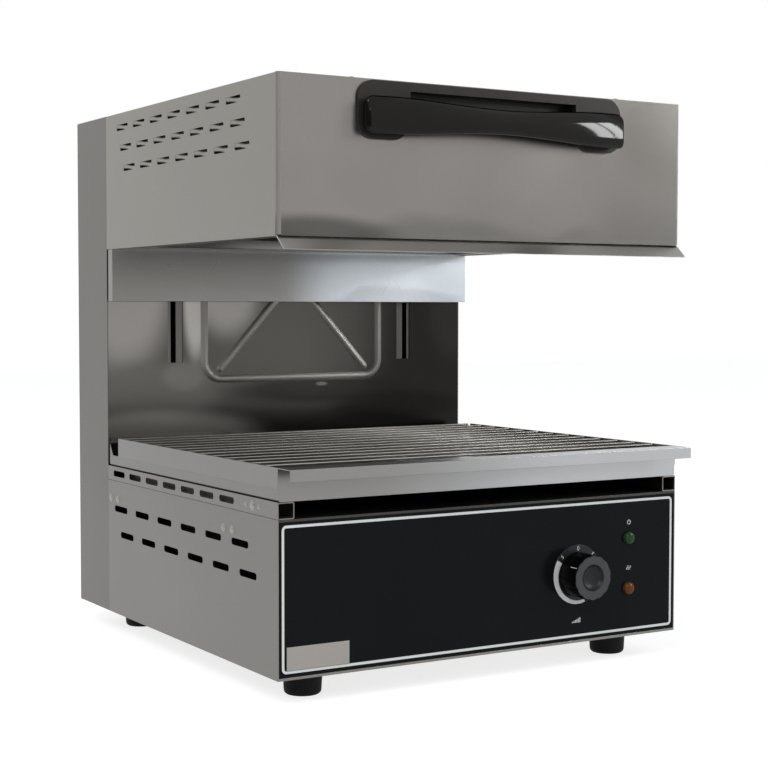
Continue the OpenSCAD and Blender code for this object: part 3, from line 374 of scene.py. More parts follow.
FINISHES = {finish.name: finish for finish in (
    SheetSteel("steel_side", "#88867f", "#928f8b", 0.36, Along.Y),
    SheetSteel("steel_base_side", "#777572", "#827f7c", 0.36, Along.Y),
    SheetSteel("steel_strip", "#787673", "#83807d", 0.34, Along.Y),
    SheetSteel("steel_bend", "#7c7a77", "#858380", 0.6, Along.X),
    # Head front: darker towards the right and the bottom, with a dark oval at the lower left and one at the right,
    # all painted shade and reflection.
    SheetSteel("steel_front", "#7f7c79", "#898683", 0.26, Along.X, painted_fades=(
        PaintedFade("X", -0.16, 0.02, "#787572", 0.9), PaintedFade("X", 0.05, 0.2, "#63615e", 0.95),
        PaintedFade("Z", 0.434, 0.411, "#666461", 0.65)), painted_patches=(
        PaintedPatch(-192, 388, 230, 48, "#4a4846", 0.78),
        PaintedPatch(225, 500, 240, 150, "#53514e", 0.55))),
    # Deflector lip: a lighter tone than the front sheet, painted light for the way the lip faces, and darker
    # towards the right, painted shade.
    SheetSteel("steel_lip", "#a19f9b", "#b1afab", 0.3, Along.X, painted_fades=(
        PaintedFade("X", 0.0, 0.2, "#8b8985", 0.9),)),
    SheetSteel("steel_top", "#8d8a87", "#979591", 0.34, Along.X),
    # Column: a darker tone than the flush base sides, a painted reflection; the back panel shares it.
    SheetSteel("steel_column", "#696764", "#73716d", 0.36, Along.Z),
    # Apron: painted reflection, bluish-bright towards the right and greyer towards the bottom, and a painted shadow
    # along the top under the lip.
    SheetSteel("steel_apron", "#82807d", "#8f8d8a", 0.28, Along.X, painted_fades=(
        PaintedFade("X", -0.04, 0.09, "#c8ced4"), PaintedFade("X", 0.12, 0.2, "#b4babf"),
        PaintedFade("Z", 0.372, 0.356, "#8d8f90", 0.35), PaintedFade("Z", 0.396, 0.412, "#838281", 0.5, 0.002))),
    # Splash-back: its dark tone and all its fades and patches are painted reflection and shade, darker towards the
    # right and the bottom, with light painted reflections at the left and round the frame, dark ovals to the right
    # and a small painted glint.
    SheetSteel("steel_splash", "#4c4a47", "#565451", 0.2, Along.Z, painted_fades=(
        PaintedFade("X", 0.0, 0.16, "#252422"), PaintedFade("Z", 0.275, 0.21, "#232221", 0.95)), painted_patches=(
        PaintedPatch(-206, 352, 150, 260, "#8a8784", 1.0, -14),
        PaintedPatch(-122, 335, 40, 180, "#a5a29e", 0.9),
        PaintedPatch(-84, 350, 110, 150, "#93908c", 0.8),
        PaintedPatch(-170, 232, 210, 96, "#605e5b", 0.95),
        PaintedPatch(-175, 186, 330, 70, "#98948f", 0.85),
        PaintedPatch(-136, 250, 70, 44, "#7b7874", 0.35, -20),
        PaintedPatch(40, 232, 320, 44, "#242221", 0.7, 3),
        PaintedPatch(215, 320, 90, 150, "#2f2d2c", 0.8),
        PaintedPatch(140, 210, 230, 50, "#181716", 0.6),
        PaintedPatch(36, 238, 20, 6, "#7d7b77", 0.6, 24))),
    # Pressed ridges: a lighter tone than the sheet they are pressed in, a painted highlight, and darker towards the
    # right, painted shade.
    SheetSteel("steel_rib", "#7b7976", "#8b8985", 0.44, Along.Z, painted_fades=(
        PaintedFade("X", 0.0, 0.17, "#5b5956", 0.8),)),
    # Lift guides in the slots: darker towards the right, painted shade.
    SheetSteel("steel_guide", "#63615e", "#6f6d6a", 0.34, Along.Z, painted_fades=(
        PaintedFade("X", 0.0, 0.14, "#454341", 0.9),)),
    SheetSteel("steel_deck", "#3a3937", "#4a4947", 0.4, Along.X),
    # Drip tray: lighter towards the right, a painted reflection.
    SheetSteel("steel_tray", "#7c7b79", "#898886", 0.32, Along.X, painted_fades=(
        PaintedFade("X", -0.2, 0.14, "#adafb1", 0.9),)),
    # Tray walls: a darker copy of the tray's steel, painted shade. Faces under the splash-back: near-black, painted
    # shadow.
    SheetSteel("steel_tray_wall", "#787775", "#848381", 0.32, Along.Y),
    SheetSteel("steel_in_shadow", "#141413", "#1b1a19", 0.5, Along.X),
    SheetSteel("steel_inner", "#86857f", "#94938e", 0.42, Along.Z),
    # Rack wires: darker towards the right, painted shade.
    SheetSteel("rack_wire", "#85827e", "#a19e99", 0.38, Along.X, painted_fades=(
        PaintedFade("X", 0.04, 0.2, "#6a6763", 0.85),)),
    SheetSteel("bright_steel", "#9c9b98", "#adacaa", 0.22, Along.Z),
    SheetSteel("rivet_steel", "#8d8b87", "#9c9a96", 0.1, Along.Z),
    SheetSteel("element_sheath", "#3c3a37", "#55524d", 0.5, Along.X, 0.1),
    SheetSteel("blank_plate", "#8d8a86", "#a09d99", 0.34, Along.X, 0.1),
    Moulded("cast_iron", "#26262a", "#34343a", 0.7, 0.4, 0.3, 500),
    Moulded("handle_plastic", "#0d0c0a", "#14110f", 0.06, 0.17, 0.01, 700),
    Moulded("handle_moulding", "#1b1917", "#23211e", 0.34, 0.2, 0.03, 900),
    Moulded("panel_gloss", "#0c0e0f", "#101213", 0.2, 0.06, 0.02),
    Moulded("dial_plastic", "#1d1f20", "#222425", 0.3, 0.2, 0.04),
    # Knob: one plastic in three tones, the face ring lighter, painted light, the skirt near-black and the dish
    # darker, painted shade.
    Moulded("knob_plastic", "#303234", "#383a3c", 0.42, 0.3, 0.1, 1600),
    Moulded("knob_skirt", "#040404", "#070707", 0.35, 0.06, 0.08, 1600),
    Moulded("knob_dish", "#191b1c", "#1f2122", 0.4, 0.2, 0.08, 1600),
    Moulded("foot_rubber", "#0a0a0a", "#121212", 0.62, 0.15, 0.3, 1400),
    Moulded("cable_rubber", "#141414", "#1d1d1d", 0.5, 0.3, 0.1, 1200),
    Moulded("ceramic", "#d2cdc0", "#dfdacd", 0.5, 0.4, 0.15, 900),
    Moulded("nylon", "#c6c3bb", "#d2cfc7", 0.45, 0.4, 0.05, 900),
    Moulded("insulating_wool", "#cfccc0", "#dedbd0", 0.9, 0.1, 0.9, 300),
    Print("panel_ink", "#cdd0cf"),
    Print("dial_ink", "#a9aba9"),
    Lens("lens_green", "#142c12", "#234620"),
    Lens("lens_amber", "#452509", "#683c10"),
)}


@lru_cache(maxsize=None)
def material(name: str) -> Material:
    """Make a finish's material, once.

    Args:
        name: The finish's name.

    Returns:
        The material.
    """
    return FINISHES[name].build()


# ---- Shaping ----


def rotation(axis: str, degrees: float) -> Matrix:
    """A turn about an axis, in degrees."""
    return Matrix.Rotation(math.radians(degrees), 4, axis)


def lift(height: float) -> Matrix:
    """A shift along Z."""
    return Matrix.Translation((0, 0, height))


def moved(shape: BMesh, matrix: Matrix) -> BMesh:
    """Move, turn or scale a whole shape and hand it back."""
    bmesh.ops.transform(shape, matrix=matrix, verts=shape.verts)
    return shape


def grid(across: int = 1, up: int = 1, half: float = 0.5) -> BMesh:
    """A flat square grid of so many fields, given half its side."""
    shape = bmesh.new()
    bmesh.ops.create_grid(shape, x_segments=across, y_segments=up, size=half)
    return shape


class Facing(Enum):
    """The way a sheet faces on the drawing."""

    FRONT = Matrix(((1, 0, 0, 0), (0, 0, 1, 0), (0, 1, 0, 0), (0, 0, 0, 1)))
    SIDE = Matrix(((0, 0, 1, 0), (1, 0, 0, 0), (0, 1, 0, 0), (0, 0, 0, 1)))
    LEVEL = Matrix.Identity(4)


@dataclass(frozen=True)
class Cut:
    """A rectangle with rounded corners on a sheet, in millimetres on the drawing."""

    across: float
    up: float
    length: float
    height: float
    corner: float = 0.0
    turn: float = 0.0
    steps: int = 6

    def draw(self) -> BMesh:
        """Make the rectangle as one flat face."""
        shape = moved(grid(), Matrix.Diagonal((self.length, self.height, 1, 1)))
        if self.corner:
            bmesh.ops.bevel(shape, geom=shape.verts[:], offset=self.corner, offset_type="OFFSET",
                            segments=self.steps, profile=0.5, affect="VERTICES", material=-1)
        return moved(shape, Matrix.Translation((self.across, self.up, 0)) @ rotation("Z", self.turn))


def outward(shape: BMesh, towards: Sequence[float] = ()) -> BMesh:
    """Turn the faces of a solid outwards, or those of an open sheet towards one side.

    Args:
        shape: The shape.
        towards: The direction of that side.

    Returns:
        The same shape.
    """
    bmesh.ops.recalc_face_normals(shape, faces=shape.faces)
    if towards and sum(face.normal.dot(towards) * face.calc_area() for face in shape.faces) < 0:
        bmesh.ops.reverse_faces(shape, faces=shape.faces)
    return shape


def between(left: float, right: float, low: float, high: float, corner: float = 0.0) -> Cut:
    """A cut given by its edges instead of its middle."""
    return Cut((left + right) / 2, (low + high) / 2, right - left, high - low, corner)


def add_to(shape: BMesh, part: BMesh, finish: int = 0) -> None:
    """Add a part to a shape and free the part.

    Args:
        shape: The shape that grows.
        part: What is added to it.
        finish: The number of its finish.
    """
    for face in part.faces:
        face.material_index = finish
    mesh = bpy.data.meshes.new("part")
    part.to_mesh(mesh)
    part.free()
    shape.from_mesh(mesh)
    bpy.data.meshes.remove(mesh)


def extruded(shape: BMesh, faces: Sequence[BMFace], step: Matrix) -> list[BMFace]:
    """Extrude faces and move what they leave at the far end.

    Args:
        shape: The shape that holds the faces.
        faces: The faces.
        step: How the far end moves.

    Returns:
        The faces at the far end.
    """
    made = bmesh.ops.extrude_face_region(shape, geom=faces)["geom"]
    bmesh.ops.transform(shape, matrix=step, verts=[item for item in made if isinstance(item, bmesh.types.BMVert)])
    return [item for item in made if isinstance(item, BMFace)]


def filled(outlines: Sequence[BMesh]) -> BMesh:
    """Fill the first outline and leave the others open in it.

    Args:
        outlines: Flat shapes, which are freed.

    Returns:
        The flat sheet.
    """
    shape = bmesh.new()
    for outline in outlines:
        add_to(shape, outline)
    bmesh.ops.delete(shape, geom=shape.faces[:], context="FACES_ONLY")
    bmesh.ops.triangle_fill(shape, use_beauty=True, edges=shape.edges[:])
    return shape


def thicken(shape: BMesh, start: float, thick: float, facing: Facing) -> BMesh:
    """Give flat shapes their thickness and turn them the way they face.

    Args:
        shape: The flat shapes.
        start: Where they start along their thickness, in millimetres.
        thick: Their thickness in millimetres.
        facing: The way they face.

    Returns:
        The same shape, closed and set out on the drawing.
    """
    extruded(shape, shape.faces[:], lift(thick))
    return outward(moved(shape, facing.value @ lift(start)))


def plate(outline: Cut, cuts: Sequence[Cut], start: float, thick: float, facing: Facing) -> BMesh:
    """Cut a sheet to its outline, with its openings.

    Args:
        outline: The sheet's outline.
        cuts: The openings.
        start: Where the sheet starts along its thickness, in millimetres.
        thick: Its thickness in millimetres.
        facing: The way it faces.

    Returns:
        The closed sheet, set out on the drawing.
    """
    return thicken(filled([cut.draw() for cut in (outline, *cuts)]), start, thick, facing)


def step_in(shape: BMesh, face: BMFace, steps: Sequence[tuple[float, float]]) -> None:
    """Step a face in and up, once for each pair.

    Args:
        shape: The shape that holds the face.
        face: The face, which ends up as the last one.
        steps: How far each step goes in and up.
    """
    face.normal_update()
    if face.normal.z < 0:
        face.normal_flip()
    for inward, upward in steps:
        bmesh.ops.inset_region(shape, faces=[face], thickness=inward, depth=upward, use_boundary=True,
                               use_even_offset=True)


def ridge(cut: Cut, width: float, rise: float, ring: bool, steps: int = 8) -> BMesh:
    """Press a rounded ridge that follows an outline.

    Args:
        cut: The ridge's outer outline.
        width: The ridge's width in millimetres.
        rise: How far it stands out, in millimetres.
        ring: Whether the sheet inside the ridge stays flat.
        steps: Steps across the whole ridge.

    Returns:
        The ridge on the drawing's floor, rising towards +Z.
    """
    shape = bmesh.new()
    earlier: list[bmesh.types.BMEdge] = []
    for step in range(steps + 1 if ring else steps // 2 + 1):
        inward = width * step / steps * 0.99
        outline = replace(cut, length=cut.length - 2 * inward, height=cut.height - 2 * inward,
                          corner=cut.corner - inward).draw()
        moved(outline, lift(rise * math.sin(math.pi * step / steps)))
        bmesh.ops.delete(outline, geom=outline.faces[:], context="FACES_ONLY")
        known = set(shape.edges)
        add_to(shape, outline)
        fresh = [edge for edge in shape.edges if edge not in known]
        if earlier:
            bmesh.ops.bridge_loops(shape, edges=[*earlier, *fresh])
        earlier = fresh
    if not ring:
        bmesh.ops.contextual_create(shape, geom=earlier)
    return outward(shape, (0, 0, 1))


def node_copy(node: str) -> BMesh:
    """A merged copy of a CAD node in metres.

    Args:
        node: The node's name.

    Returns:
        The copy.
    """
    shape = bmesh.new()
    shape.from_mesh(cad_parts[node].data)
    moved(shape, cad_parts[node].matrix_world)
    bmesh.ops.remove_doubles(shape, verts=shape.verts, dist=1e-6)
    bmesh.ops.dissolve_limit(shape, angle_limit=math.radians(0.5), verts=shape.verts, edges=shape.edges)
    for face in shape.faces:
        face.material_index = 0
    return shape


def cut_away(shape: BMesh, place: Sequence[float], away: Sequence[float]) -> None:
    """Cut a shape with a plane and drop what lies beyond it.

    Args:
        shape: The shape in metres.
        place: A point on the plane.
        away: The direction of the side that goes.
    """
    everything = [*shape.verts, *shape.edges, *shape.faces]
    bmesh.ops.bisect_plane(shape, geom=everything, dist=1e-7, plane_co=place, plane_no=away, clear_outer=True)


def side_sheet(side: int, outline: Cut, cuts: Sequence[Cut]) -> BMesh:
    """Cut the outer sheet of one side.

    Args:
        side: One of SIDES.
        outline: The sheet's outline.
        cuts: Its openings.

    Returns:
        The sheet in metres.
    """
    start = -HALF_W if side < 0 else HALF_W - SHEET
    return moved(plate(outline, cuts, start, SHEET, Facing.SIDE), SET_OUT)


def without_sheet(node: str, sides: Sequence[int]) -> BMesh:
    """A copy of a node without its outer sheets.

    Args:
        node: The node's name.
        sides: The sides that lose their sheet, as in SIDES.

    Returns:
        What is left, in metres.
    """
    shape = node_copy(node)
    for side in sides:
        cut_away(shape, (side * (HALF_W - SHEET - 0.01) * MM, 0, 0), (side, 0, 0))
    return shape


def added(name: str, data: bpy.types.ID) -> Object:
    """Put data into the scene as an object at the origin."""
    made = bpy.data.objects.new(name, data)
    bpy.context.scene.collection.objects.link(made)
    return made


def solid(name: str, shape: BMesh, materials: Sequence[Material]) -> Object:
    """Turn a shape into an object at the origin.

    Args:
        name: The object's name.
        shape: Its shape in metres, which is freed.
        materials: Its materials, by number.

    Returns:
        The object.
    """
    mesh = bpy.data.meshes.new(name)
    shape.to_mesh(mesh)
    shape.free()
    for own in materials:
        mesh.materials.append(own)
    return added(name, mesh)


def piece(name: str, shape: BMesh, finishes: Sequence[str], body: str,
          stands_for: Sequence[str] = (), smooth: float = 35, ease: float = 0.0, steps: int = 2,
          flat_first: bool = True, stretch: tuple[Vector, Vector] | None = None) -> Object:
    """Turn a shape into a finished piece at the origin.

    Args:
        name: The piece's name.
        shape: The shape in metres, which is freed.
        finishes: Its finishes, by number.
        body: The body that carries it.
        stands_for: The CAD nodes that it replaces.
        smooth: Edges under this angle, in degrees, are shaded smooth.
        ease: Width of its eased edges in millimetres.
        steps: Steps round an eased edge.
        flat_first: Whether large flat faces keep their shading.
        stretch: For a cable, two points for where it leaves the cabinet and from where on it would follow the body;
            only whether they are given is read, and then the piece is not attached to the body but keeps its place
            with its transform baked.

    Returns:
        The piece.
    """
    made = solid(name, shape, [material(finish) for finish in finishes])
    made.data.shade_smooth()
    made.data.set_sharp_from_angle(angle=math.radians(smooth))
    if ease:
        bevel = made.modifiers.new("eased_edges", "BEVEL")
        bevel.width = ease * MM
        bevel.segments = steps
        bevel.limit_method = "ANGLE"
        bevel.angle_limit = math.radians(40)
    if flat_first:
        weighted = made.modifiers.new("flat_faces_first", "WEIGHTED_NORMAL")
        weighted.keep_sharp = True
    if stands_for:
        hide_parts(*stands_for)
    if stretch:
        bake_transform(made)
    else:
        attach(made, body)
    return made


def refined(node: str, body: str, finish: str, ease: float = 0.0, steps: int = 2) -> Object:
    """Replace a CAD node by a merged copy with smooth curves and eased edges.

    Args:
        node: The node's name.
        body: The body that carries it.
        finish: Its finish.
        ease: Width of the eased edges in millimetres.
        steps: Steps round an eased edge.

    Returns:
        The new piece.
    """
    return piece(node + "_finished", node_copy(node), [finish], body, [node], ease=ease, steps=steps)


def dress(node: str, finish: str) -> None:
    """Give a CAD node its finish.

    Args:
        node: The node's name.
        finish: Its finish.
    """
    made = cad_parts[node]
    if not made.material_slots:
        made.data.materials.append(material(finish))
    for slot in made.material_slots:
        slot.link = "OBJECT"
        slot.material = material(finish)


# ---- Studio ----


@dataclass
class Studio:
    """Camera, floor, world, lamps and cards."""

    camera_at: Numbers = (-0.87437, -1.48819, 0.35045)
    yaw: float = 31.1095
    pitch: float = 2.692
    roll: float = 0.048
    lens: float = 76.682
    floor_half: float = 7.0
    aim: Numbers = (0, 0, 0.28)
    card_rise: float = 0.3
    panes: Numbers = (50, 2.6)

    def camera(self) -> None:
        """Put the camera where the photograph was taken from."""
        data = bpy.data.cameras.new("camera")
        data.sensor_width = 36
        data.lens = self.lens
        data.clip_start, data.clip_end = 0.01, 100
        camera = added("camera", data)
        turn = rotation("Z", -self.yaw) @ rotation("X", 90 - self.pitch) @ rotation("Z", self.roll)
        camera.matrix_world = Matrix.Translation(self.camera_at) @ turn
        bpy.context.scene.camera = camera

    def floor(self) -> None:
        """A plain pale floor that keeps a soft shadow."""
        shape = grid(half=self.floor_half)
        bench = NodeBench("pale_floor")
        plain = bench.add("BsdfDiffuse", {"Color": (0.8, 0.8, 0.8, 1)})
        shaded = bench.add("BsdfDiffuse", {"Color": (0.4, 0.4, 0.4, 1)})
        shown = bench.add("AddShader", {0: shaded, 1: bench.add("Emission", {"Strength": 0.77})})
        pick = bench.add("MixShader", {0: bench.seen(), 1: plain, 2: shown})
        self.stage_piece("floor", shape, bench.surface(pick))

    @staticmethod
    def stage_piece(name: str, shape: BMesh, own: Material) -> Object:
        """Make a surface that isn't part of the grill.

        Args:
            name: Its name.
            shape: Its shape in metres, which is freed.
            own: Its material.

        Returns:
            The object.
        """
        made = solid(name, shape, [own])
        return made

    @staticmethod
    def world() -> None:
        """White where it is seen, soft daylight where it lights."""
        world = bpy.data.worlds.new("studio")
        bpy.context.scene.world = world
        bench = NodeBench(world)
        shown = bench.tree.nodes["Background"]
        shown.inputs["Color"].default_value = (1, 1, 1, 1)
        light = bench.add("Background", {"Color": (0.95, 0.97, 1, 1), "Strength": 0.55})
        pick = bench.add("MixShader", {0: bench.seen(), 1: light, 2: shown})
        bench.feed(bench.tree.nodes["World Output"], {"Surface": pick})

    def lamp(self, name: str, where: Sequence[float], size: float, power: float, mirrored: bool = True) -> None:
        """A square softbox aimed at the grill.

        Args:
            name: The lamp's name.
            where: Its place in metres.
            size: Its side in metres.
            power: Its power in watts.
            mirrored: Whether shiny surfaces show it.
        """
        data = bpy.data.lights.new(name, "AREA")
        data.shape = "SQUARE"
        data.size = size
        data.energy = power
        lamp = added(name, data)
        lamp.rotation_mode = "QUATERNION"
        lamp.rotation_quaternion = (Vector(self.aim) - Vector(where)).to_track_quat("-Z", "Y")
        lamp.location = where
        lamp.visible_glossy = mirrored

    def card(self, name: str, bearing: float, rise: float, distance: float, width: float, height: float,
             shade: float) -> None:
        """A card that only reflections see.

        Args:
            name: The card's name.
            bearing: Its direction from straight ahead of the grill towards its right, in degrees.
            rise: Its height above the horizon, in degrees.
            distance: Its distance in metres.
            width: Its width in metres.
            height: Its height in metres.
            shade: Its brightness.
        """
        aim, up = math.radians(bearing), math.radians(rise)
        middle = Vector((math.sin(aim) * math.cos(up), -math.cos(aim) * math.cos(up), math.sin(up))) * distance
        stand = Matrix.Translation(middle) @ lift(self.card_rise) @ rotation("Z", bearing)
        shape = moved(grid(), stand @ Matrix.Diagonal((width, 1, height, 1)) @ rotation("X", 90))
        bench = NodeBench(name)
        glow = bench.add("Emission", {"Color": (shade, shade, shade, 1)})
        card = self.stage_piece(name, shape, bench.surface(glow))
        card.visible_camera = card.visible_diffuse = card.visible_shadow = card.visible_transmission = False

    def build(self) -> None:
        """Set up everything around the grill."""
        self.camera()
        self.floor()
        self.world()
        self.lamp("key", (-2.2, -1.6, 2.4), 1.6, 60)
        self.lamp("fill", (2.4, -1.8, 1.6), 1.4, 26, False)
        self.card("dark_side", -62, 12, 3.0, 2.8, 3.4, 0.08)
        bearing, apart = self.panes
        for name, side in SIDES.items():
            self.card("pane_" + name, bearing + side * apart, 20, 2.6, 0.19, 0.9, 24)


# ---- The grill ----


@dataclass
class Cabinet:
    """Base, column and what is fixed to them, in millimetres on the drawing."""

    base_h: float = 141.5
    column_y: float = 393.5
    splash_top: float = 526.5
    vents: Numbers = (6, 74.5, 112.4, 56.7)
    vent_size: Numbers = (34.6, 6.5, 2.9)
    vent_step: Numbers = (-16.3, -26.4)
    strip_slots: Numbers = (7, 102, 149.4, 43.5)
    strip_slot_size: Numbers = (30.8, 6.1, 2.7)
    arm_slot: Numbers = (146.1, 372.5, 17.8, 215)
    lead_slot: Numbers = (185, 419.5, 12, 164, 5.9)
    pressed: Numbers = (359.8, 232, 236)
    ridge_w: float = 9
    border: Numbers = (221, 5.8, 136.2)
    border_w: float = 2.4
    knob: Numbers = (101, 67)
    lamp_x: float = 165
    lamp_z: Numbers = (98, 48)

    def base(self) -> None:
        """Base skin with its rows of vents, and the slotted strips."""
        count, first, row_z, pitch = self.vents
        across, up = self.vent_step
        cuts = [Cut(first + i * pitch + row * across, row_z + row * up, *self.vent_size)
                for row in range(2) for i in range(count)]
        outline = between(0, self.column_y - 0.2, 0, self.base_h)
        shape = bmesh.new()
        for side in SIDES.values():
            add_to(shape, side_sheet(side, outline, cuts))
        add_to(shape, without_sheet("base_shell", SIDES.values()))
        piece("base_skin", shape, ["steel_base_side"], "cabinet", ["base_shell"], ease=0.1)
        count, first, row_z, pitch = self.strip_slots
        cuts = [Cut(first + i * pitch, row_z, *self.strip_slot_size) for i in range(count)]
        outline = between(0, self.column_y - 0.2, self.base_h + 0.3, self.base_h + 15.2)
        for name, side in SIDES.items():
            piece(f"rail_strip_{name}_finished", side_sheet(side, outline, cuts), ["steel_strip"], "cabinet",
                  ["rail_strip_" + name], ease=0.15)

    def splash_back(self) -> None:
        """Splash-back with its slots, and the pressed frame and cross."""
        across, *rest = self.arm_slot
        cuts = [*(Cut(side * across, *rest) for side in SIDES.values()), Cut(*self.lead_slot)]
        outline = between(SHEET - HALF_W, HALF_W - SHEET, self.base_h + 0.2, self.splash_top)
        shape = plate(outline, cuts, self.column_y, SHEET, Facing.FRONT)
        (middle, frame_w, frame_h), wide = self.pressed, self.ridge_w
        run, climb = frame_w / 2 - 24, frame_h / 2 - 16
        reach, tilt = math.hypot(run, climb), math.degrees(math.atan2(climb, run))
        ridges = [ridge(Cut(0, middle, frame_w, frame_h, 24.5, steps=10), wide, 1.6, True)]
        for turn in (-tilt, tilt):
            ridges.append(ridge(Cut(0, middle, 2 * reach + wide, wide, 4.45, turn), wide, 1.5, False))
        forward = Facing.FRONT.value @ lift(self.column_y) @ Matrix.Diagonal((1, 1, -1, 1))
        # The ridges take the rib finish, a painted highlight.
        for part in ridges:
            add_to(shape, moved(part, forward), 1)
        piece("splash_back_pressed", moved(shape, SET_OUT), ["steel_splash", "steel_rib"], "cabinet",
              ["splash_back"], smooth=50)

    def cables(self) -> None:
        """Lift cables, cut at the pulleys' axle into the wraps on the cabinet and runs towards the head and the
        weights, and the heater lead; the runs and the lead are left unattached, with their transforms baked.
        """
        low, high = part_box("pulley_left")
        axle = Vector((0, (low.y + high.y) / 2, (low.z + high.z) / 2))
        right, back, up = Vector((1, 0, 0)), Vector((0, 1, 0)), Vector((0, 0, 1))
        wraps = node_copy("lift_cables")
        cut_away(wraps, axle, -up)
        pieces = [("wraps", "cabinet", wraps, None)]
        for body, aways, rigid in (("head", (back,), 0), ("weight_left", (-back, right), 23),
                                   ("weight_right", (-back, -right), 23)):
            run = node_copy("lift_cables")
            for away in (up, *aways):
                cut_away(run, axle, away)
            end = min(vert.co.z for vert in run.verts) + rigid * MM
            pieces.append(("to_" + body, body, run, (axle, Vector((0, axle.y, end)))))
        for name, body, run, stretch in pieces:
            bmesh.ops.holes_fill(run, edges=[edge for edge in run.edges if edge.is_boundary])
            piece("lift_cable_" + name, run, ["bright_steel"], body, ["lift_cables"] if run is wraps else (),
                  flat_first=False, stretch=stretch)
        low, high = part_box("heater_lead")
        stretch = (Vector((0, 0, low.z + 0.12)), Vector((0, 0, high.z - 0.06)))
        piece("heater_lead_run", node_copy("heater_lead"), ["cable_rubber"], "head", ["heater_lead"],
              flat_first=False, stretch=stretch)

    def lenses(self) -> None:
        """Domed lamp lenses."""
        for colour, height in zip(("green", "amber"), self.lamp_z):
            shape = bmesh.new()
            bmesh.ops.create_circle(shape, cap_ends=True, radius=6, segments=32)
            top = extruded(shape, shape.faces[:], lift(2.8))[0]
            step_in(shape, top, [(0.35, 0.7), (0.6, 0.6), (1.0, 0.55), (1.3, 0.4), (1.3, 0.2)])
            moved(outward(shape), SET_OUT @ Matrix.Translation((self.lamp_x, 0.2, height)) @ rotation("X", 90))
            piece(f"lamp_{colour}_lens", shape, ["lens_" + colour], "cabinet", ["lamp_" + colour], smooth=60)

    @staticmethod
    def printed(name: str, parts: Sequence[BMesh], y: float, finish: str) -> None:
        """Join flat shapes into one print on the front.

        Args:
            name: The print's name.
            parts: Flat shapes on the drawing's floor, which are freed.
            y: Where the print's face lies.
            finish: Its ink.
        """
        shape = bmesh.new()
        for part in parts:
            add_to(shape, part)
        thicken(shape, y, 0.06, Facing.FRONT)
        piece(name, moved(shape, SET_OUT), [finish], "cabinet", flat_first=False)

    @staticmethod
    def arc(middle: tuple[float, float], start: float, sweep: float, radii: Sequence[float],
            width: Sequence[float]) -> BMesh:
        """A flat band along an arc, whose width changes evenly.

        Args:
            middle: The arc's middle.
            start: Its first angle in degrees, from +X.
            sweep: How far it runs, in degrees.
            radii: Its outer radius at both ends.
            width: Its width at both ends.

        Returns:
            The band on the drawing's floor.
        """
        shape = grid(max(4, int(abs(sweep) / 5)))
        for vert in shape.verts:
            share = vert.co.x + 0.5
            outer, wide = (ends[0] + (ends[1] - ends[0]) * share for ends in (radii, width))
            radius = Vector((outer - wide * (vert.co.y + 0.5), 0, 0))
            vert.co = Vector((*middle, 0)) + rotation("Z", start + sweep * share) @ radius
        return shape

    @staticmethod
    def digit(text: str, middle: tuple[float, float], size: float, turn: float = 0) -> BMesh:
        """A plain printed number.

        Args:
            text: The number.
            middle: Its middle.
            size: Its height in millimetres.
            turn: Its turn in degrees.

        Returns:
            The number on the drawing's floor.
        """
        words = bpy.data.curves.new("number", "FONT")
        words.body = text
        words.size = size * 1.4
        words.align_x, words.align_y = "CENTER", "CENTER"
        words.resolution_u = 3
        holder = bpy.data.objects.new("number", words)
        shape = bmesh.new()
        shape.from_mesh(holder.to_mesh())
        holder.to_mesh_clear()
        bpy.data.objects.remove(holder)
        bpy.data.curves.remove(words)
        moved(shape, Matrix.Translation((*middle, 0)) @ rotation("Z", turn))
        bmesh.ops.remove_doubles(shape, verts=shape.verts, dist=1e-4)
        return shape

    def prints(self) -> None:
        """Printed border, dial marks and plain signs."""
        half, low, high = self.border
        wide = self.border_w
        border = filled([between(-half, half, low, high, 4.5).draw(),
                         between(wide - half, half - wide, low + wide, high - wide, 2.2).draw()])
        x = self.lamp_x + 0.9
        power = [self.arc((x, 113.6), 125, 290, (2.3, 2.3), (0.55, 0.55)), Cut(x, 115.2, 0.6, 2.4).draw()]
        heat = [self.arc((x + shift - side * 0.45, 68.2 + side * 0.95), 90 - side * 150, 120 * side, (1.4, 1.4),
                         (0.5, 0.5)) for shift in (-1.9, 0, 1.9) for side in (1, -1)]
        scale = [Cut(self.knob[0] - 4.5 + 1.8 * i, 20.2 + 0.35 * i, 0.9, 1.2 + 0.7 * i).draw() for i in range(6)]
        self.printed("panel_prints", [border, *power, *heat, *scale], 0.12, "panel_ink")
        marks = [self.arc(self.knob, 147, 142, (28.6, 28.8), (6.4, 3.0)),
                 self.digit("0", (self.knob[0] + 0.8, self.knob[1] + 25.2), 4.2),
                 self.digit("5", (self.knob[0] - 18.0, self.knob[1] + 18.2), 3.6, 42),
                 Cut(self.knob[0] + 18.6, self.knob[1] + 19.2, 3.6, 0.9, turn=45).draw()]
        self.printed("dial_marks", marks, -1.38, "dial_ink")

    def build(self) -> None:
        """Build and dress the cabinet."""
        self.base()
        self.splash_back()
        self.cables()
        self.lenses()
        self.prints()


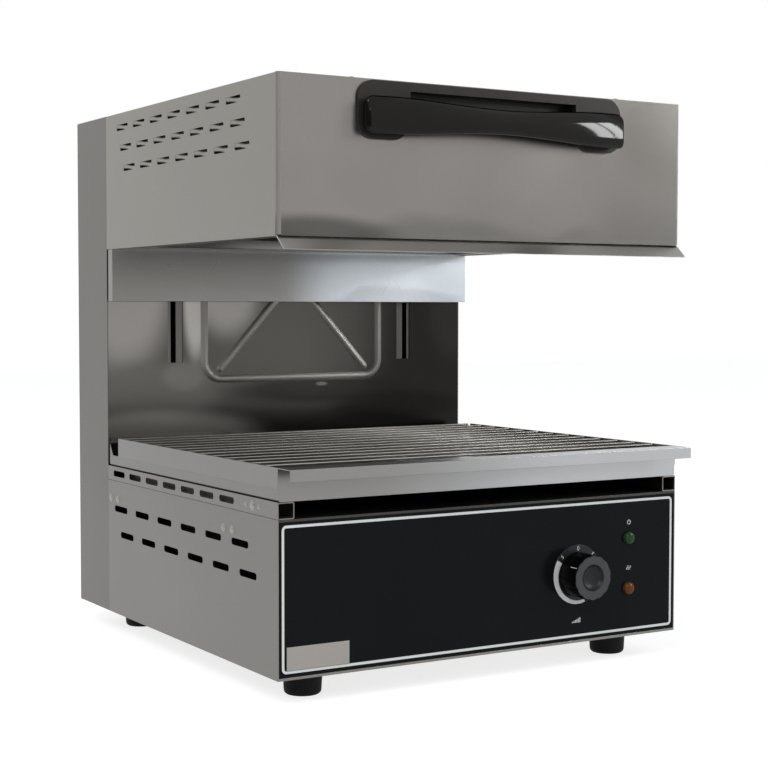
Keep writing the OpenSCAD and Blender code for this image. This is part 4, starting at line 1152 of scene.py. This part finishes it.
@dataclass
class Head:
    """The heated head with its handle, in millimetres on the drawing."""

    low: float = 387
    high: float = 527.5
    front: float = -2
    rear: float = 393.2
    louvres: tuple[int, int] = (3, 7)
    louvre_size: Numbers = (29.8, 6.4, 1.6)
    louvre_first: Numbers = (85.5, 512.3)
    louvre_pitch: Numbers = (43.75, 21.3, 9)
    louvre_depth: float = 5.5
    bar_w: float = 287
    bar_mid: float = 494.9
    bar_h: Numbers = (22.5, 33)
    bar_t: float = 8
    bar_ahead: float = 15
    bar_bow: float = 7
    bar_crown: float = 2.6
    bar_lean: float = 0.14
    bar_round: Numbers = (3.6, 7)
    bar_block: Numbers = (123.4, 38, 30, 7)

    def blade(self, y: float, z: float, side: int) -> BMesh:
        """One twisted louvre blade, pressed in above at its front and below at its back.

        Args:
            y: The louvre's middle along the side.
            z: The louvre's height.
            side: -1 for the left side and 1 for the right side.

        Returns:
            The blade on the drawing.
        """
        length, height, _ = self.louvre_size
        shape = grid(12, 8)
        for vert in shape.verts:
            u, v = vert.co.x + 0.5, vert.co.y
            share = (1 - u) ** 1.3 if v > 0 else u ** 1.3
            depth = self.louvre_depth * share * min(1, abs(v) * 2) ** 1.1
            vert.co = (side * (HALF_W - 0.1 - depth), y + (u - 0.5) * length, z + v * height)
        outward(shape, (side, 0, 0))
        bmesh.ops.solidify(shape, geom=shape.faces[:], thickness=0.8)
        return shape

    def sides(self) -> None:
        """Side panels with their pressed louvres."""
        rows, count = self.louvres
        along, drop, shift = self.louvre_pitch
        y, z = self.louvre_first
        places = [(y + i * along - row * shift, z - row * drop) for row in range(rows) for i in range(count)]
        cuts = [Cut(*place, *self.louvre_size) for place in places]
        outline = between(self.front + 5.1, self.rear, self.low, self.high - SHEET)
        for name, side in SIDES.items():
            shape = side_sheet(side, outline, cuts)
            for y, z in places:
                add_to(shape, moved(self.blade(y, z, side), SET_OUT))
            node = "head_side_" + name
            add_to(shape, without_sheet(node, [side]))
            piece(node + "_louvred", shape, ["steel_side"], "head", [node], smooth=50)

    def front_skin(self) -> None:
        """Front with its softly lit bends."""
        shape = node_copy("head_front")
        for face in shape.faces:
            sideways, upwards = abs(face.normal.x), abs(face.normal.z)
            face.material_index = int(0.05 < sideways < 0.998 and upwards < 0.3)
        piece("head_front_finished", shape, ["steel_front", "steel_bend"], "head", ["head_front"], ease=0.3)

    def bar_section(self, x: float) -> Matrix:
        """Where the bar's section goes at x, and how it is stretched.

        Args:
            x: Distance from the middle.

        Returns:
            The matrix that takes the end section there.
        """
        share = min(1.0, abs(x) / (self.bar_w / 2 - 18))
        height = self.bar_h[0] + (self.bar_h[1] - self.bar_h[0]) * (1 - math.cos(math.pi * share)) / 2
        bow = self.bar_bow * (1 - (abs(x) / (self.bar_w / 2)) ** 3)
        left = self.bar_w / 2 - abs(x)
        trim_y, trim_z = (r - math.sqrt(max(0.0, r ** 2 - max(0.0, r - left) ** 2)) for r in self.bar_round)
        stretch = Matrix.Diagonal((1, (self.bar_t - trim_y) / self.bar_t, (height - 2 * trim_z) / self.bar_h[1], 1))
        y = self.front - self.bar_ahead - bow + self.bar_t / 2 + trim_y / 2
        return Matrix.Translation((x, y, self.bar_mid)) @ stretch

    def bar(self) -> None:
        """The bar: a crowned section drawn out over its length, with a block behind each end."""
        end = self.bar_w / 2
        edge = [0.15, 0.6, 1.4, 2.4, 3.6, 5, 7, 10]
        places = [-end + d for d in edge] + [i * 3.0 for i in range(-43, 44)] + [end - d for d in reversed(edge)]
        section = Cut(0, 0, self.bar_t, self.bar_h[1], 3.4, steps=5).draw()
        bmesh.ops.subdivide_edges(section, edges=[e for e in section.edges if e.calc_length() > 20], cuts=15)
        for vert in section.verts:
            crown = self.bar_crown * (1 - (2 * vert.co.y / self.bar_h[1]) ** 2)
            if vert.co.x < 0:
                vert.co.x = vert.co.x * 0.35 - crown + vert.co.y * self.bar_lean
        moved(section, self.bar_section(places[0]) @ Facing.SIDE.value)
        region = section.faces[:]
        for before, after in zip(places, places[1:]):
            region = extruded(section, region, self.bar_section(after) @ self.bar_section(before).inverted())
        apart, *size = self.bar_block
        for side in SIDES.values():
            block = Cut(side * apart, self.bar_mid, *size, steps=8)
            add_to(section, plate(block, [], self.front - 14, 11.5, Facing.FRONT))
        piece("handle_bar_finished", moved(outward(section), SET_OUT), ["handle_plastic"], "head", ["handle_bar"],
              smooth=60, flat_first=False)

    def build(self) -> None:
        """Build and dress the head."""
        self.sides()
        self.front_skin()
        refined("handle_moulding", "head", "handle_moulding", 1.0, 3)
        self.bar()


@dataclass
class Knob:
    """The fluted knob with its dished face, in millimetres on the drawing."""

    middle: Numbers = (101, 67)
    radius: float = 22
    lobes: int = 14
    flute: float = 0.62
    pointer: Numbers = (1.0, 9.5, -60)
    dish: float = 13.2
    back: float = -1.9
    front: float = -26

    def build(self) -> None:
        """Build the knob."""
        shape = bmesh.new()
        bmesh.ops.create_circle(shape, cap_ends=True, radius=self.radius, segments=self.lobes * 10)
        for vert in shape.verts:
            flute = self.flute * max(0.0, math.cos(math.atan2(vert.co.y, vert.co.x) * self.lobes)) ** 1.4
            vert.co *= (self.radius - flute) / self.radius
        height = self.back - self.front
        top = extruded(shape, shape.faces[:], lift(height - 0.65))[0]
        step_in(shape, top, [(0.2, 0.35), (0.35, 0.25), (0.4, 0.05)])
        # The skirt takes the near-black tone, painted shade.
        for face in shape.faces:
            face.material_index = 1
        rim = top.edges[:]
        bmesh.ops.delete(shape, geom=[top], context="FACES_ONLY")
        hollow = bmesh.ops.create_circle(shape, cap_ends=False, radius=self.dish, segments=64)
        bmesh.ops.translate(shape, vec=(0, 0, height), verts=hollow["verts"])
        edge = list({e for vert in hollow["verts"] for e in vert.link_edges})
        # The face ring takes the lighter tone, painted light.
        for item in bmesh.ops.triangle_fill(shape, use_beauty=True, edges=[*rim, *edge])["geom"]:
            if isinstance(item, BMFace):
                item.material_index = 0
        dish = bmesh.ops.contextual_create(shape, geom=edge)["faces"][0]
        # The dish takes the darker tone, painted shade.
        dish.material_index = 2
        step_in(shape, dish, [(0.5, -0.25), (0.7, -1.5), (1.2, -1.7), (2.0, -1.3), (2.8, -0.7), (2.8, -0.2)])
        place = SET_OUT @ Matrix.Translation((self.middle[0], self.back, self.middle[1]))
        moved(outward(shape), place @ rotation("X", 90))
        shaft = node_copy("knob")
        cut_away(shaft, SET_OUT @ Vector((0, self.back + 0.1, 0)), (0, -1, 0))
        add_to(shape, shaft, 1)
        piece("knob_fluted", shape, ["knob_plastic", "knob_skirt", "knob_dish"], "knob", ["knob"], smooth=50)
        wide, long, turn = self.pointer
        line = plate(Cut(0, 0, wide, long), [], self.radius - 0.6, 0.35, Facing.LEVEL)
        lay = Matrix.Translation((self.middle[0], self.front + 6, self.middle[1]))
        moved(line, SET_OUT @ lay @ rotation("Y", turn))
        piece("knob_pointer", line, ["panel_ink"], "knob", flat_first=False)


def tray() -> None:
    """Build the drip tray, with painted shade: a darker tone on its outside walls and a near-black painted shadow
    on faces that face forward under the splash-back.
    """
    wall_x, shade_y = 224, 380
    shape = node_copy("drip_tray")
    for face in shape.faces:
        middle = SET_OUT.inverted() @ face.calc_center_median()
        # Outside walls take the darker copy, painted shade; faces that face forward behind shade_y take the
        # near-black painted shadow.
        outside = abs(face.normal.x) > 0.9 and abs(abs(middle.x) - wall_x) < 0.5
        inside = face.normal.y < -0.5 and middle.y > shade_y
        face.material_index = 1 if outside else 2 if inside else 0
    piece("drip_tray_finished", shape, ["steel_tray", "steel_tray_wall", "steel_in_shadow"], "tray",
          ["drip_tray"], ease=0.3)


REFINED = (
    ("cabinet", "steel_base_side", 0.2, "tray_rail_left tray_rail_right"),
    ("cabinet", "steel_column", 0.3, "column_side_left column_side_right"),
    ("cabinet", "steel_column", 0, "back_panel"),
    ("cabinet", "steel_top", 0.3, "column_top"),
    ("cabinet", "steel_deck", 0.2, "base_deck"),
    ("cabinet", "foot_rubber", 0, "feet"),
    ("cabinet", "bright_steel", 0, "foot_screws back_screws pulley_axles"),
    ("cabinet", "rivet_steel", 0, "dome_rivets"),
    ("cabinet", "steel_guide", 0, "lift_guides"),
    ("cabinet", "steel_inner", 0, "weight_guides pulley_brackets"),
    ("cabinet", "ceramic", 0, "regulator terminal_block"),
    ("cabinet", "cable_rubber", 0, "lamp_bodies cable_gland"),
    ("cabinet", "panel_gloss", 0.15, "panel_overlay"),
    ("cabinet", "blank_plate", 0.25, "name_plate"),
    ("cabinet", "dial_plastic", 0.4, "dial_disc"),
    ("head", "steel_top", 0.2, "head_top"),
    ("head", "steel_lip", 0.3, "deflector_lip"),
    ("head", "steel_apron", 0.3, "apron"),
    ("head", "steel_inner", 0, "head_rear head_floor"),
    ("head", "bright_steel", 0, "head_screws reflector element_supports lift_arms roller_axles"),
    ("head", "insulating_wool", 0, "insulation"),
    ("head", "element_sheath", 0, "heating_elements"),
    ("rack", "rack_wire", 0, "wire_rack"),
    ("", "nylon", 0, "roller_upper_left roller_upper_right roller_lower_left roller_lower_right"),
    ("", "nylon", 0, "pulley_left pulley_right"),
    ("", "cast_iron", 0.8, "weight_left weight_right"),
)
"""Pieces that keep their solids' shape: body (or none where it has the node's name), finish, width of
the eased edges in millimetres, and nodes."""


def plain_pieces() -> None:
    """Finish the pieces that keep the shape of their solids."""
    for body, finish, ease, nodes in REFINED:
        for node in nodes.split():
            refined(node, body or node, finish, ease)
    dress("control_panel", "steel_front")
    dress("base_loom", "cable_rubber")


def main() -> None:
    """Build the scene in order and report each part."""
    for build in (Studio().build, Cabinet().build, Head().build, Knob().build, tray, plain_pieces):
        build()
        log.info("done: %s", build.__qualname__)
    bpy.context.scene.view_settings.view_transform = "Standard"


if __name__ == "__main__":
    main()
